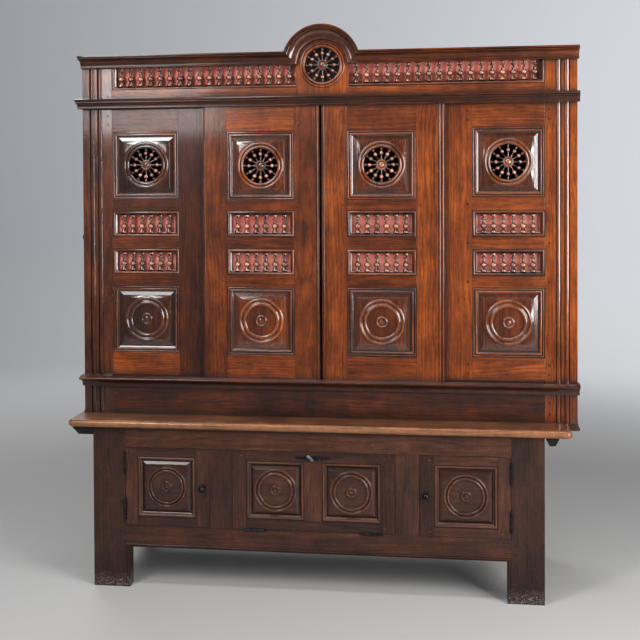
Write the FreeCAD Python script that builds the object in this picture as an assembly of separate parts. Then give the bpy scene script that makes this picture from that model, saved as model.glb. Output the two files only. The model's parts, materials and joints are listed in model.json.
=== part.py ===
import FreeCAD, Part
import math
import os

# Oak cupboard in two stages: a low locker base with a ledge in front, and a
# tall case on it with two sliding doors between two fixed bays.
# Millimetres.  +Z is up, the front faces -Y, +X is to the right.  The origin
# is on the floor, in the middle of the whole width and of the whole depth.

os.makedirs("parts", exist_ok=True)

# ------------------------------------------------------------ driving sizes

# widths, left to right
case_width = 1785.0            # over the outer edges of the two front posts
flare_left = 30.0              # side base moulding beyond the left post
flare_right = 8.0              # side base moulding beyond the right post
base_width = 1594.0            # over the outer edges of the two front legs
base_shift = -25.5             # base centre, measured from the case centre
post_width = 111.0
leg_width_left = 118.0
leg_width_right = 112.0
muntin_width = 82.0            # between a locker and the fall flap
flap_width = 578.0             # opening of the fall flap
fixed_opening_width = 252.0    # panel openings of the fixed bays
fixed_stile_width = 106.0
door_opening_width = 247.0     # panel openings of the sliding doors
door_stile_width = 75.5
left_door_outer_strip = 10.0   # beaded strips on the edges of the doors
left_door_inner_strip = 15.5
right_door_inner_strip = 13.0
right_door_outer_strip = 24.0
door_meeting_shift = -4.5      # meeting line, measured from the case centre
door_meeting_gap = 9.0
crest_hole_floor = 6.0         # wood left behind the crest wheel
crest_board_width = 190.0
frieze_crest_margin = 8.0      # from the crest board to the first spindle
bench_overhang_left = 88.0     # ledge beyond the left leg
bench_overhang_right = 92.0    # ledge beyond the right leg

# heights, floor to crest
foot_height = 145.0            # clear space under the base
base_bottom_rail_height = 77.0
locker_height = 281.0
base_top_rail_height = 72.0
ledge_thickness = 27.0
apron_height = 100.0
sill_height = 44.0
bay_bottom_rail = 81.0
ring_opening_height = 247.0
lock_rail = 41.0
gallery_height = 95.0
middle_rail = 42.0
upper_rail = 41.0
wheel_opening_height = 249.0
bay_top_rail = 84.0
fixed_wheel_shift = 3.0        # the fixed bays' wheel openings, up from that place
door_wheel_shift = -4.0        # those of the doors
waist_height = 39.0
frieze_bottom_rail = 29.0
frieze_opening_height = 102.0
frieze_top_rail = 21.0
cornice_height = 44.0
cornice_lap = 42.0             # cornice bottom below the top of the case
crest_radius = 141.0
crest_drop = 44.0              # crest centre below the top of the case

# depths, front to back
case_depth = 410.0
base_step = 110.0              # base front ahead of the case front
nose_overhang = 27.0           # ledge nose ahead of the base front
leg_thickness = 45.0
post_thickness = 45.0
top_rail_thickness = 45.0
rail_thickness = 30.0
fixed_thickness = 26.0
door_thickness = 22.0
locker_thickness = 26.0
door_running_gap = 2.0         # sliding door back to fixed bay front
apron_thickness = 22.0
side_board_thickness = 22.0
back_board_thickness = 18.0
shelf_thickness = 20.0
top_board_thickness = 17.0
rear_leg_width = 60.0
base_side_inset = 12.0         # base side boards inside the leg's outer edge

# mouldings
cornice_projection = 42.0
waist_projection = 42.0
sill_projection = 40.0
cornice_return = 6.0           # how far the left ends stand out sideways
waist_return = 18.0
sill_return = 8.0
right_return = 6.0
frame_moulding_width = 16.0    # round the galleries
panel_moulding_width = 22.0    # round the panels of the bays and sliding doors
base_moulding_width = 17.0
frame_moulding_setback = 0.5
arch_width = 50.0
side_moulding_height = 38.0
foot_moulding_width = 14.0

# joinery
tenon_length = 40.0
tenon_thickness = 8.0
tenon_shoulder = 6.0
housing = 10.0
cut_reach = 80.0               # a cutting block runs this far past what it cuts
peg_radius = 3.6
peg_proud = 0.6
peg_edge = 15.0                # peg centre from the shoulder of the joint

# panels, wheels and spindles
panel_tongue = 8.0
panel_tongue_thickness = 5.0
panel_depth = 11.0             # frame face to the front of the tongue
field_depth = 4.0              # frame face to the raised field
field_margin = 2.0             # flat border between moulding and bevel
field_bevel = 22.0
field_step = 1.6               # small step in the bevel
base_field_margin = 0.0
base_field_bevel = 13.0
base_field_step = 0.0
panel_edge = (panel_moulding_width, field_margin, field_bevel, field_step)
base_panel_edge = (base_moulding_width, base_field_margin, base_field_bevel,
                   base_field_step)
disc_rise = 1.0                # turned disc ahead of the field
wheel_opening_radius = 62.5
wheel_rings = [(80.0, 5.0), (68.0, 4.8)]        # beads: radius, half width
crest_rings = [(78.0, 4.0), (68.0, 4.8)]
ring_panel_rings = [(77.0, 5.0), (60.0, 6.0)]
left_locker_rings = [(68.5, 3.5), (57.5, 4.0)]
right_locker_rings = [(73.0, 4.0), (61.0, 4.5)]
flap_rings = [(72.5, 4.0), (59.0, 4.5)]
bead_rise = 2.9
trough_depth = 1.6
disc_rim = 1.0                 # disc's edge beyond its outer bead
spoke_ball_radius = 8.0
spoke_bead_radius = 6.0
spoke_neck_radius = 2.6
wheel_hub_radius = 19.0
wheel_boss_radius = 10.0
wheel_spokes = 12
spoke_pin_radius = 2.0
spoke_pin_length = 4.0
hub_thickness = 12.0
hub_groove_depth = 2.5         # sunk ring between the hub's rim and its button
sunk_depth = 3.0               # field inside the rings, below the disc's face
ring_boss_radius = 22.0
ring_boss_bead = 17.0          # middle of the bead on the boss
base_boss_radius = 21.0
base_boss_bead = 14.5
spindle_ball_radius = 10.0
spindle_foot_radius = 9.2
spindle_ring_radius = 7.6
spindle_cap_radius = 8.6
spindle_setback = 0.2          # ball behind the face of its frame
bay_spindles = 6
bay_spindle_pitch = 34.2
frieze_spindle_count = 18
backing_thickness = 1.5

# doors, hinges, lock and catches
door_clearance = 1.0           # round a hinged door, each side
track_clearance = 1.0          # front and back of a sliding door in its groove
sill_groove_depth = 5.0
head_groove_depth = 13.0
door_foot_clearance = 0.5
door_head_lap = 7.0            # door top up inside the head groove
locker_stile_width = 50.0
locker_hinge_stile_width = 44.0
locker_rail_height = 31.0
flap_stile_width = 50.0
flap_rail_height = 36.0
flap_muntin_width = 62.0
hinge_length = 76.0
hinge_barrel_radius = 3.9
hinge_pin_radius = 2.0
hinge_pin_fit = 0.05
hinge_leaf_thickness = 1.6
hinge_leaf_gap = 0.6           # between the two closed leaves
hinge_leaf_width = 18.0
hinge_knuckle_gap = 0.4
hinge_axis_forward = 2.0       # pin centre ahead of the door face
hinge_barrel_room = 0.6
door_hinge_end = 56.0          # hinge centre from the door's top or bottom
flap_hinge_spacing = 408.0
knob_radius = 12.0
knob_edge = 23.0               # spindle centre from the door edge
spindle_radius = 4.0
spindle_fit = 0.05
knob_neck = 8.0
catch_reach = 38.0
catch_width = 14.0
catch_thickness = 3.0
catch_gap = 1.5
lock_width = 80.0
lock_height = 44.0
lock_depth = 16.0
bolt_width = 25.0
bolt_thickness = 8.0
bolt_height = 30.0
bolt_fit = 0.3
bolt_throw = 10.0
plate_length = 128.0
plate_height = 16.0
plate_thickness = 2.0
cover_length = 28.6
cover_width = 9.0
cover_thickness = 2.0
cover_pivot_radius = 1.6
cover_fit = 0.05
cover_tilt = 42.0              # degrees, how the cover hangs at rest
keyhole_radius = 3.0

# small hardware and inner work
side_eye_radius = 10.0
side_eye_wire = 2.0
side_eye_prong = 16.0
side_eye_height = 1250.0
ledge_block_height = 30.0
ledge_block_depth = 50.0
ledge_block_left = 79.0
ledge_block_left_chamfer = 24.0
ledge_block_right = 45.0
ledge_block_right_gap = 4.0
ledge_block_right_chamfer = 12.0
base_floor_drop = 4.0          # locker floor below the rail's top edge
base_floor_thickness = 18.0
partition_thickness = 20.0
stop_height = 12.0             # stop strips under the top rail, behind the doors
stop_thickness = 12.0
stop_gap = 0.5
flap_stop_length = 180.0
rear_rail_height = 60.0
back_board_count = 9
shelf_height = 1210.0
shelf_gap = 12.0               # shelf front to the back of the fixed bays
board_joint_gap = 0.4

# ---------------------------------------------------------- derived places

overall_width = case_width + flare_left + flare_right
case_left = -overall_width / 2 + flare_left
case_right = case_left + case_width
case_centre = (case_left + case_right) / 2
ledge_depth = base_step + nose_overhang
case_front = -(ledge_depth + case_depth) / 2 + ledge_depth
case_back = case_front + case_depth
base_front = case_front - base_step
nose_front = case_front - ledge_depth

base_centre = case_centre + base_shift
base_left = base_centre - base_width / 2
base_right = base_centre + base_width / 2
bay_left = case_left + post_width          # inner edges of the posts
bay_right = case_right - post_width
locker_inner_left = base_left + leg_width_left   # inner edges of the legs
locker_inner_right = base_right - leg_width_right
flap_left = base_centre - flap_width / 2
flap_right = base_centre + flap_width / 2

rail_top = foot_height + base_bottom_rail_height
locker_top = rail_top + locker_height
base_height = locker_top + base_top_rail_height
ledge_top = base_height + ledge_thickness
sill_bottom = ledge_top + apron_height
bay_bottom = sill_bottom + sill_height
ring_bottom = bay_bottom + bay_bottom_rail
ring_top = ring_bottom + ring_opening_height
gallery_low = ring_top + lock_rail
gallery_high = gallery_low + gallery_height + middle_rail
wheel_bottom = gallery_high + gallery_height + upper_rail
wheel_top = wheel_bottom + wheel_opening_height
bay_top = wheel_top + bay_top_rail
waist_top = bay_top + waist_height
frieze_low = waist_top + frieze_bottom_rail
frieze_high = frieze_low + frieze_opening_height
case_top = frieze_high + frieze_top_rail
cornice_bottom = case_top - cornice_lap
cornice_top = cornice_bottom + cornice_height
crest_z = case_top - crest_drop

door_middle_width = 2 * door_stile_width + door_opening_width
door_back = case_front - door_running_gap
door_front = door_back - door_thickness
door_meeting = case_centre + door_meeting_shift
left_door_right = door_meeting - door_meeting_gap / 2
left_door_left = (left_door_right - left_door_outer_strip - door_middle_width
                  - left_door_inner_strip)
right_door_left = door_meeting + door_meeting_gap / 2
right_door_right = (right_door_left + right_door_inner_strip + door_middle_width
                    + right_door_outer_strip)
door_foot = bay_bottom - sill_groove_depth + door_foot_clearance
door_head = bay_top + door_head_lap
locker_back = base_front + locker_thickness

# ------------------------------------------------------------ shape helpers


def vec(x, y, z):
    return FreeCAD.Vector(x, y, z)


def box(x0, x1, y0, y1, z0, z1):
    return Part.makeBox(x1 - x0, y1 - y0, z1 - z0, vec(x0, y0, z0))


def cylinder(centre, axis, radius, length):
    return Part.makeCylinder(radius, length, centre, axis)


def outline(points, place):
    """Closed face from plane points.  A point is (a, b), or (a, b, c, d) for
    an arc that passes through (a, b) and ends at (c, d)."""
    edges = []
    start = place(*points[0])
    last = start
    for point in points[1:] + [points[0]]:
        end = place(*point[-2:])
        if len(point) == 4:
            edges.append(Part.Arc(last, place(*point[:2]), end).toShape())
        elif end.distanceToPoint(last) > 1e-6:
            edges.append(Part.LineSegment(last, end).toShape())
        last = end
    return Part.Face(Part.Wire(edges))


def prism_x(points, x0, x1):
    """Section points are (y, z)."""
    face = outline(points, lambda y, z: vec(x0, y, z))
    return face.extrude(vec(x1 - x0, 0, 0))


def prism_y(points, y0, y1):
    """Section points are (x, z)."""
    face = outline(points, lambda x, z: vec(x, y0, z))
    return face.extrude(vec(0, y1 - y0, 0))


def prism_z(points, z0, z1):
    """Section points are (x, y)."""
    face = outline(points, lambda x, y: vec(x, y, z0))
    return face.extrude(vec(0, 0, z1 - z0))


def turned(points, centre, axis, start=0.0):
    """Solid of revolution.  Section points are (radius, height along axis)."""
    face = outline(points, lambda r, h: vec(r, 0, h))
    solid = face.revolve(vec(0, 0, 0), vec(0, 0, 1), 360)
    solid.rotate(vec(0, 0, 0), vec(0, 0, 1), start)
    solid = solid.copy()
    turn = FreeCAD.Placement(centre, FreeCAD.Rotation(vec(0, 0, 1), axis))
    solid.Placement = turn.multiply(solid.Placement)
    return solid


def dome(radius, low, rise):
    """Arc of a ball-shaped cap: a point on it, and its top on the axis."""
    ball = (radius ** 2 + rise ** 2) / (2 * rise)
    half = math.asin(radius / ball) / 2
    return (ball * math.sin(half), low + rise - ball * (1 - math.cos(half)),
            0.0, low + rise)


def bead_ring(x, z, radius, size, rise, face_y):
    """Rounded ring, 2 * size wide, that stands on a face which looks towards -Y."""
    section = [(radius - size, 0.0), (radius, rise, radius + size, 0.0)]
    return turned(section, vec(x, face_y, z), vec(0, -1, 0))


def trough(x, z, low, high, depth, face_y):
    """Hollow turned into such a face between two radii."""
    section = [(low, 1.0), (low, 0.0), ((low + high) / 2, -depth, high, 0.0),
               (high, 1.0)]
    return turned(section, vec(x, face_y, z), vec(0, -1, 0))


def ringed(body, x, z, rings, face_y):
    """Adds an outer and an inner bead, each (radius, half width), to a round face,
    with a trough between them."""
    (outer, outer_size), (inner, inner_size) = rings
    body = body.cut(trough(x, z, inner + inner_size, outer - outer_size, trough_depth,
                           face_y))
    body = body.fuse(bead_ring(x, z, outer, outer_size, bead_rise, face_y))
    return body.fuse(bead_ring(x, z, inner, inner_size, bead_rise, face_y))


def beaded_section(x0, x1, y0, y1, beads):
    """Board section whose front has half-sunk beads, each (centre, radius)."""
    points = [(x0, y1), (x0, y0)]
    for centre, radius in sorted(beads):
        floor = y0 + 0.65 * radius
        points.append((centre - radius, y0))
        points.append((centre - radius, floor))
        points.append((centre, y0, centre + radius, floor))
        points.append((centre + radius, y0))
    points.append((x1, y0))
    points.append((x1, y1))
    return points


def beaded_board(x0, x1, y0, y1, z0, z1, beads):
    return prism_z(beaded_section(x0, x1, y0, y1, beads), z0, z1)


def cut_all(solid, tools):
    for tool in tools:
        solid = solid.cut(tool)
    return solid


def save(node, solids):
    solids = [piece for shape in solids for piece in shape.Solids]
    shape = solids[0] if len(solids) == 1 else Part.makeCompound(solids)
    shape.exportStep("parts/" + node + ".step")
    print(node, len(solids), shape.isValid(), round(shape.Volume / 1000.0, 1))


# --------------------------------------------------------------- joinery


def tenon(x0, x1, front, thickness, z0, z1):
    """Tenon that lies in the middle of a member's thickness."""
    middle = front + thickness / 2
    return box(x0, x1, middle - tenon_thickness / 2, middle + tenon_thickness / 2,
               z0 + tenon_shoulder, z1 - tenon_shoulder)


def pegs_for(x, z0, z1, front, thickness):
    """One peg, or a pair on a wide rail, across a tenon at x."""
    height = z1 - z0
    offsets = (-height / 5, height / 5) if height > 60 else (0.0,)
    length = peg_proud + thickness * 0.8
    middle = (z0 + z1) / 2
    return [cylinder(vec(x, front - peg_proud, middle + offset), vec(0, 1, 0),
                     peg_radius, length) for offset in offsets]


def join_rail(x0, x1, z0, z1, front, thickness, left_length, right_length):
    """A rail with its two tenons, the tenons alone and their pegs."""
    rail = box(x0, x1, front, front + thickness, z0, z1)
    tenons = [tenon(x0 - left_length, x0, front, thickness, z0, z1),
              tenon(x1, x1 + right_length, front, thickness, z0, z1)]
    pegs = pegs_for(x0 - peg_edge, z0, z1, front, thickness)
    pegs += pegs_for(x1 + peg_edge, z0, z1, front, thickness)
    rail = rail.fuse(tenons[0]).fuse(tenons[1]).removeSplitter()
    return cut_all(rail, pegs), tenons, pegs


def single_bead(width, face):
    """Front of a moulding with one bead, then a slope down to the panel."""
    return [(0.0, face + 2.0), (width * 0.12, face + 2.0),
            (width * 0.37, face - 0.3, width * 0.62, face + 2.5),
            (width * 0.69, face + 4.5), (width, face + 7.5)]


def double_bead(width, face):
    """Front of a moulding with a small outer bead, a quirk and a larger bead."""
    return [(0.0, face + 0.6), (width * 0.07, face + 0.6), (width * 0.07, face + 3.0),
            (width * 0.12, face + 2.8),
            (width * 0.24, face + 0.2, width * 0.36, face + 2.8),
            (width * 0.37, face + 4.8), (width * 0.45, face + 4.8),
            (width * 0.45, face + 3.4),
            (width * 0.64, face - 0.4, width * 0.83, face + 3.4),
            (width * 0.84, face + 7.2), (width, face + 9.0)]


def frame_moulding(x0, x1, z0, z1, front, depth, width, shape):
    """Mitred moulding round the inside of an opening, glued up as one frame."""
    back = front + depth
    section = [(0.0, back)] + shape(width, front + frame_moulding_setback)
    section += [(width, back)]
    profile = outline(section, lambda u, y: vec(x0 + u, y, (z0 + z1) / 2))
    path = Part.makePolygon([vec(x0, front, (z0 + z1) / 2), vec(x0, front, z1),
                             vec(x1, front, z1), vec(x1, front, z0),
                             vec(x0, front, z0), vec(x0, front, (z0 + z1) / 2)])
    return path.makePipeShell([profile.OuterWire], True, True, 1)


def raised_panel(x0, x1, z0, z1, front, edge):
    """Tongued panel with a raised field, in the opening x0..x1, z0..z1. edge is
    (moulding width, field margin, field bevel, step in the bevel). Returns the panel
    and the groove it needs in its frame."""
    moulding, margin, bevel, step = edge
    tongue_front = front + panel_depth
    groove = box(x0 - panel_tongue, x1 + panel_tongue, tongue_front,
                 tongue_front + panel_tongue_thickness,
                 z0 - panel_tongue, z1 + panel_tongue)

    def rectangle(inset, y):
        corners = [vec(x, y, z) for x, z in
                   ((x0 + inset, z0 + inset), (x1 - inset, z0 + inset),
                    (x1 - inset, z1 - inset), (x0 + inset, z1 - inset))]
        return Part.makePolygon(corners + corners[:1])

    outer = moulding + margin
    sections = [rectangle(outer, tongue_front)]
    if step:
        middle = (tongue_front + front + field_depth) / 2
        sections += [rectangle(outer + bevel * 0.56, middle + step / 2),
                     rectangle(outer + bevel * 0.60, middle - step / 2)]
    sections += [rectangle(outer + bevel, front + field_depth)]
    field = Part.makeLoft(sections, True, True)
    return groove.fuse(field), groove


def turned_disc(x, z, front, radius):
    """Round block on a panel, its face a little ahead of the field."""
    face = front + field_depth - disc_rise
    return cylinder(vec(x, face, z), vec(0, 1, 0), radius,
                    panel_depth - field_depth + disc_rise + 1.0)


def wheel_panel(x0, x1, z0, z1, front):
    """Raised panel pierced by the wheel opening, with two beads round it."""
    panel, groove = raised_panel(x0, x1, z0, z1, front, panel_edge)
    x = (x0 + x1) / 2
    z = (z0 + z1) / 2
    face = front + field_depth - disc_rise
    panel = panel.fuse(turned_disc(x, z, front, sum(wheel_rings[0]) + disc_rim))
    panel = ringed(panel, x, z, wheel_rings, face)
    hole = cylinder(vec(x, front - 10, z), vec(0, 1, 0), wheel_opening_radius, 60)
    return panel.cut(hole), groove


def boss(x, z, face, radius, bead):
    """Turned boss: a swelling rim, a bead round it and a sunk button."""
    button = bead * 0.56
    section = [(0.0, 0.0), (radius, 0.0), (radius, 1.0),
               (radius * 0.97, 2.6, bead + 2.6, 3.2),
               (bead, 5.8, bead - 2.6, 3.2), (bead - 3.2, 2.4),
               (button, 2.4), dome(button, 2.4, 2.4)]
    return turned(section, vec(x, face, z), vec(0, -1, 0))


def ring_panel(x0, x1, z0, z1, front, edge, rings, button, bead):
    """Raised panel with a turned disc: two rings, a sunk field and a boss."""
    panel, groove = raised_panel(x0, x1, z0, z1, front, edge)
    x = (x0 + x1) / 2
    z = (z0 + z1) / 2
    face = front + field_depth - disc_rise
    panel = panel.fuse(turned_disc(x, z, front, sum(rings[0]) + disc_rim))
    panel = ringed(panel, x, z, rings, face)
    sunk_radius = rings[1][0] - rings[1][1]
    panel = panel.cut(cylinder(vec(x, face, z), vec(0, 1, 0), sunk_radius, sunk_depth))
    panel = panel.fuse(boss(x, z, face + sunk_depth, button, bead))
    return panel, groove


def wheel_axes():
    """Directions of the spokes."""
    angles = [2 * math.pi * index / wheel_spokes for index in range(wheel_spokes)]
    return [vec(math.cos(angle), 0, math.sin(angle)) for angle in angles]


def spoke(centre, axis, hub, opening):
    """Turned spoke with a ball and a bead, a pin at each end."""
    span = opening - hub
    ball = hub + span * 0.54
    bead = hub + span * 0.90
    neck = spoke_neck_radius
    reach = math.sqrt(spoke_ball_radius ** 2 - neck ** 2)
    section = [(0.0, hub - spoke_pin_length), (spoke_pin_radius, hub - spoke_pin_length),
               (spoke_pin_radius, hub), (neck * 1.3, hub), (neck, hub + span * 0.15),
               (neck, ball - reach), (spoke_ball_radius, ball, neck, ball + reach),
               (neck, bead - 2.4), (spoke_bead_radius, bead, neck, bead + 2.4),
               (spoke_pin_radius, opening - 0.5),
               (spoke_pin_radius, opening + spoke_pin_length),
               (0.0, opening + spoke_pin_length)]
    return turned(section, centre, axis)


def wheel(x, z, middle, hub, button, opening):
    """Hub with a button, and the spokes let into it."""
    centre = vec(x, middle, z)
    half = hub_thickness / 2
    floor = half - hub_groove_depth
    section = [(0.0, -half), (hub, -half), (hub, half - 2.0),
               (hub * 0.95, half - 0.5, hub * 0.86, half), (hub * 0.74, half),
               (hub * 0.68, floor), (button, floor), dome(button, floor, 3.6)]
    body = turned(section, centre, vec(0, -1, 0))
    sockets = [cylinder(centre + axis * (hub - spoke_pin_length), axis,
                        spoke_pin_radius, spoke_pin_length + 2) for axis in wheel_axes()]
    spokes = [spoke(centre, axis, hub, opening) for axis in wheel_axes()]
    return [cut_all(body, sockets)] + spokes


def wheel_rim_sockets(x, z, middle, opening):
    """The holes that take the outer pins of the spokes."""
    return [cylinder(vec(x, middle, z) + axis * (opening - 2), axis, spoke_pin_radius,
                     spoke_pin_length + 2) for axis in wheel_axes()]


def gallery_spindle(x, y, z0, z1):
    """Turned spindle: disc, ring, waisted neck, ball and flared foot, top to bottom."""
    height = z1 - z0
    ball = spindle_ball_radius
    neck = ball * 0.46
    reach = math.sqrt(ball ** 2 - neck ** 2)
    centre = height * 0.36
    section = [(0.0, 0.0), (spindle_foot_radius, 0.0), (spindle_foot_radius, 2.4),
               (neck, centre - reach), (ball, centre, neck, centre + reach),
               (neck * 1.1, height * 0.57), (neck * 0.7, height * 0.71),
               (spindle_ring_radius, height * 0.765, neck * 0.7, height * 0.82),
               (neck * 0.8, height * 0.90), (spindle_cap_radius, height * 0.925),
               (spindle_cap_radius, height), (0.0, height)]
    return turned(section, vec(x, y, z0), vec(0, 0, 1))


# ------------------------------------------------------- bay and door frames

def bay_rails(foot, head, shift):
    """Heights of the rails of a bay, with its wheel opening shifted up by shift."""
    return [(foot, ring_bottom), (ring_top, gallery_low),
            (gallery_low + gallery_height, gallery_high),
            (gallery_high + gallery_height, wheel_bottom + shift),
            (wheel_top + shift, head)]


gallery_sills = (gallery_low, gallery_high)


def bay_filling(x0, x1, front, thickness, shift):
    """Panels, mouldings, wheel, spindles and backings of one bay."""
    middle = (x0 + x1) / 2
    axle = front + panel_depth - 1.0
    wheel_low = wheel_bottom + shift
    wheel_high = wheel_top + shift
    wheel_z = (wheel_low + wheel_high) / 2
    upper, upper_groove = wheel_panel(x0, x1, wheel_low, wheel_high, front)
    sockets = wheel_rim_sockets(middle, wheel_z, axle, wheel_opening_radius)
    lower, lower_groove = ring_panel(x0, x1, ring_bottom, ring_top, front, panel_edge,
                                     ring_panel_rings, ring_boss_radius, ring_boss_bead)
    filling = {
        "panels": [cut_all(upper, sockets), lower],
        "grooves": [upper_groove, lower_groove],
        "wheel": wheel(middle, wheel_z, axle, wheel_hub_radius,
                       wheel_boss_radius, wheel_opening_radius),
        "mouldings": [frame_moulding(x0, x1, low, high, front, panel_depth,
                                     panel_moulding_width, double_bead)
                      for low, high in ((ring_bottom, ring_top),
                                        (wheel_low, wheel_high))],
        "spindles": [],
        "backings": [],
    }
    back = front + thickness
    for sill in gallery_sills:
        top = sill + gallery_height
        filling["mouldings"].append(
            frame_moulding(x0, x1, sill, top, front, thickness - backing_thickness,
                           frame_moulding_width, single_bead))
        filling["backings"].append(box(x0, x1, back - backing_thickness, back, sill, top))
        for index in range(bay_spindles):
            offset = (index - (bay_spindles - 1) / 2) * bay_spindle_pitch
            filling["spindles"].append(
                gallery_spindle(middle + offset, front + spindle_ball_radius + spindle_setback,
                                sill + frame_moulding_width,
                                top - frame_moulding_width))
    return filling


def bay_rail_set(x0, x1, front, thickness, left_length, right_length, rails):
    """The rails of one bay, with all their tenons and pegs."""
    members, tenons, pegs = [], [], []
    for z0, z1 in rails:
        member, ends, pins = join_rail(x0, x1, z0, z1, front, thickness,
                                       left_length, right_length)
        members.append(member)
        tenons += ends
        pegs += pins
    return members, tenons, pegs


# fixed bays: the rails go straight into the posts
fixed_bays = []
left_bay = (bay_left, bay_left + fixed_opening_width)
right_bay = (bay_right - fixed_opening_width, bay_right)
for x0, x1 in (left_bay, right_bay):
    rails, tenons, pegs = bay_rail_set(x0, x1, case_front, fixed_thickness,
                                       tenon_length, tenon_length,
                                       bay_rails(bay_bottom, bay_top, fixed_wheel_shift))
    filling = bay_filling(x0, x1, case_front, fixed_thickness, fixed_wheel_shift)
    fixed_bays.append({"rails": [cut_all(rail, filling["grooves"]) for rail in rails],
                       "tenons": tenons, "pegs": pegs, "filling": filling})

fixed_stiles = []
stile_places = (left_bay[1], right_bay[0] - fixed_stile_width)
for bay, x0 in zip(fixed_bays, stile_places):
    stile = box(x0, x0 + fixed_stile_width, case_front, case_front + fixed_thickness,
                bay_bottom, bay_top)
    stile = cut_all(stile, bay["tenons"] + bay["pegs"] + bay["filling"]["grooves"])
    fixed_stiles.append(stile)


def strip_beads(edge, way, strip):
    """One bead on a narrow edge strip, two on a wide one."""
    if strip < 20:
        return [(edge + way * strip * 0.5, strip * 0.3)]
    return [(edge + way * strip * part, strip * 0.21) for part in (0.27, 0.75)]


def sliding_door(x0, x1, left_strip, right_strip):
    """One sliding door from x0 to x1, with beaded strips on its edges."""
    open_left = x0 + left_strip + door_stile_width
    open_right = open_left + door_opening_width
    rails = bay_rails(door_foot, door_head, door_wheel_shift)
    members, tenons, pegs = bay_rail_set(open_left, open_right, door_front,
                                         door_thickness, tenon_length, tenon_length,
                                         rails)
    filling = bay_filling(open_left, open_right, door_front, door_thickness,
                          door_wheel_shift)
    stiles = [beaded_board(x0, open_left, door_front, door_back, door_foot, door_head,
                           strip_beads(x0, 1, left_strip)),
              beaded_board(open_right, x1, door_front, door_back, door_foot, door_head,
                           strip_beads(x1, -1, right_strip))]
    tools = tenons + pegs + filling["grooves"]
    stiles = [cut_all(stile, tools) for stile in stiles]
    members = [cut_all(member, filling["grooves"]) for member in members]
    return {"frame": stiles + members, "pegs": pegs, "filling": filling}


left_door = sliding_door(left_door_left, left_door_right, left_door_outer_strip,
                         left_door_inner_strip)
right_door = sliding_door(right_door_left, right_door_right, right_door_inner_strip,
                          right_door_outer_strip)

# ------------------------------------------------------------------ case

reed_near = 35.5               # reed centres from the post's outer edge
reed_far = 65.0
reed_radius = 9.6

posts = []
for outer, sign in ((case_left, 1), (case_right, -1)):
    inner = outer + sign * post_width
    beads = [(outer + sign * reed_near, reed_radius),
             (outer + sign * reed_far, reed_radius)]
    posts.append(beaded_board(min(outer, inner), max(outer, inner), case_front,
                              case_front + post_thickness, ledge_top, case_top, beads))


def long_rail(z0, z1, thickness):
    """Rail from post to post, tenoned at both ends."""
    return join_rail(bay_left, bay_right, z0, z1, case_front, thickness,
                     tenon_length, tenon_length)


apron, apron_tenons, apron_pegs = long_rail(ledge_top, sill_bottom, apron_thickness)
sill_rail, sill_tenons, sill_pegs = long_rail(sill_bottom, bay_bottom, post_thickness)
waist_rail, waist_tenons, waist_pegs = long_rail(bay_top, frieze_low, rail_thickness)

# frieze: crest board in the middle, a short top rail on each side of it
crest_left = case_centre - crest_board_width / 2
crest_right = case_centre + crest_board_width / 2
frieze_top_rails = []
frieze_tenons = []
frieze_pegs = []
for x0, x1 in ((bay_left, crest_left), (crest_right, bay_right)):
    rail, tenons, pegs = join_rail(x0, x1, frieze_high, case_top, case_front,
                                   rail_thickness, tenon_length, tenon_length)
    frieze_top_rails.append(rail)
    frieze_tenons += tenons
    frieze_pegs += pegs

crest_edge = crest_radius - 6.0
shoulder = math.sqrt(crest_edge ** 2 - crest_drop ** 2)
crest_board = prism_y([(crest_left, waist_top), (crest_left, case_top),
                       (case_centre - shoulder, case_top),
                       (case_centre, crest_z + crest_edge,
                        case_centre + shoulder, case_top),
                       (crest_right, case_top), (crest_right, waist_top)],
                      case_front, case_front + rail_thickness)
waist_rail = waist_rail.cut(box(crest_left, crest_right, case_front - 1,
                                case_front + rail_thickness + 1, waist_top,
                                frieze_low + 1))
crest_hole = cylinder(vec(case_centre, case_front - 5, crest_z), vec(0, 1, 0),
                      wheel_opening_radius, rail_thickness - crest_hole_floor + 5)
crest_axle = case_front + 9.5
crest_board = crest_board.cut(crest_hole)
crest_board = ringed(crest_board, case_centre, crest_z, crest_rings, case_front)
crest_sockets = wheel_rim_sockets(case_centre, crest_z, crest_axle,
                                  wheel_opening_radius)
crest_board = cut_all(crest_board, crest_sockets + frieze_tenons + frieze_pegs)
frieze_top_rails = [cut_all(rail, crest_sockets) for rail in frieze_top_rails]
crest_wheel = wheel(case_centre, crest_z, crest_axle, wheel_hub_radius,
                    wheel_boss_radius, wheel_opening_radius)

frieze_mouldings = []
frieze_spindles = []
frieze_backings = []
for x0, x1, reach_left, reach_right in ((bay_left, crest_left, 0, 1),
                                        (crest_right, bay_right, 1, 0)):
    surround = frame_moulding(x0 - reach_left * crest_board_width / 2,
                              x1 + reach_right * crest_board_width / 2,
                              frieze_low, frieze_high, case_front,
                              rail_thickness - backing_thickness, frame_moulding_width,
                              single_bead)
    frieze_mouldings.append(surround.common(box(x0, x1, case_front - 5, case_back,
                                                frieze_low, frieze_high)))
    backing_back = case_front + rail_thickness
    frieze_backings.append(box(x0, x1, backing_back - backing_thickness, backing_back,
                               frieze_low, frieze_high))
    first = x0 + (frieze_crest_margin if reach_left else frame_moulding_width)
    last = x1 - (frieze_crest_margin if reach_right else frame_moulding_width)
    pitch = (last - first) / frieze_spindle_count
    for index in range(frieze_spindle_count):
        frieze_spindles.append(
            gallery_spindle(first + (index + 0.5) * pitch,
                            case_front + spindle_ball_radius + spindle_setback,
                            frieze_low + frame_moulding_width,
                            frieze_high - frame_moulding_width))

# ------------------------------------------------- mouldings on the front


def front_moulding(profile, left_profile, x0, x1):
    """Moulding along the front: its section (y, z) runs from x0 to x1, and
    its left end (x, z) is worked back to a narrower section."""
    run = prism_x(profile, x0, x1)
    end = prism_y(left_profile, case_front - cut_reach, case_front + cut_reach)
    return run.common(end)


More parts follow.
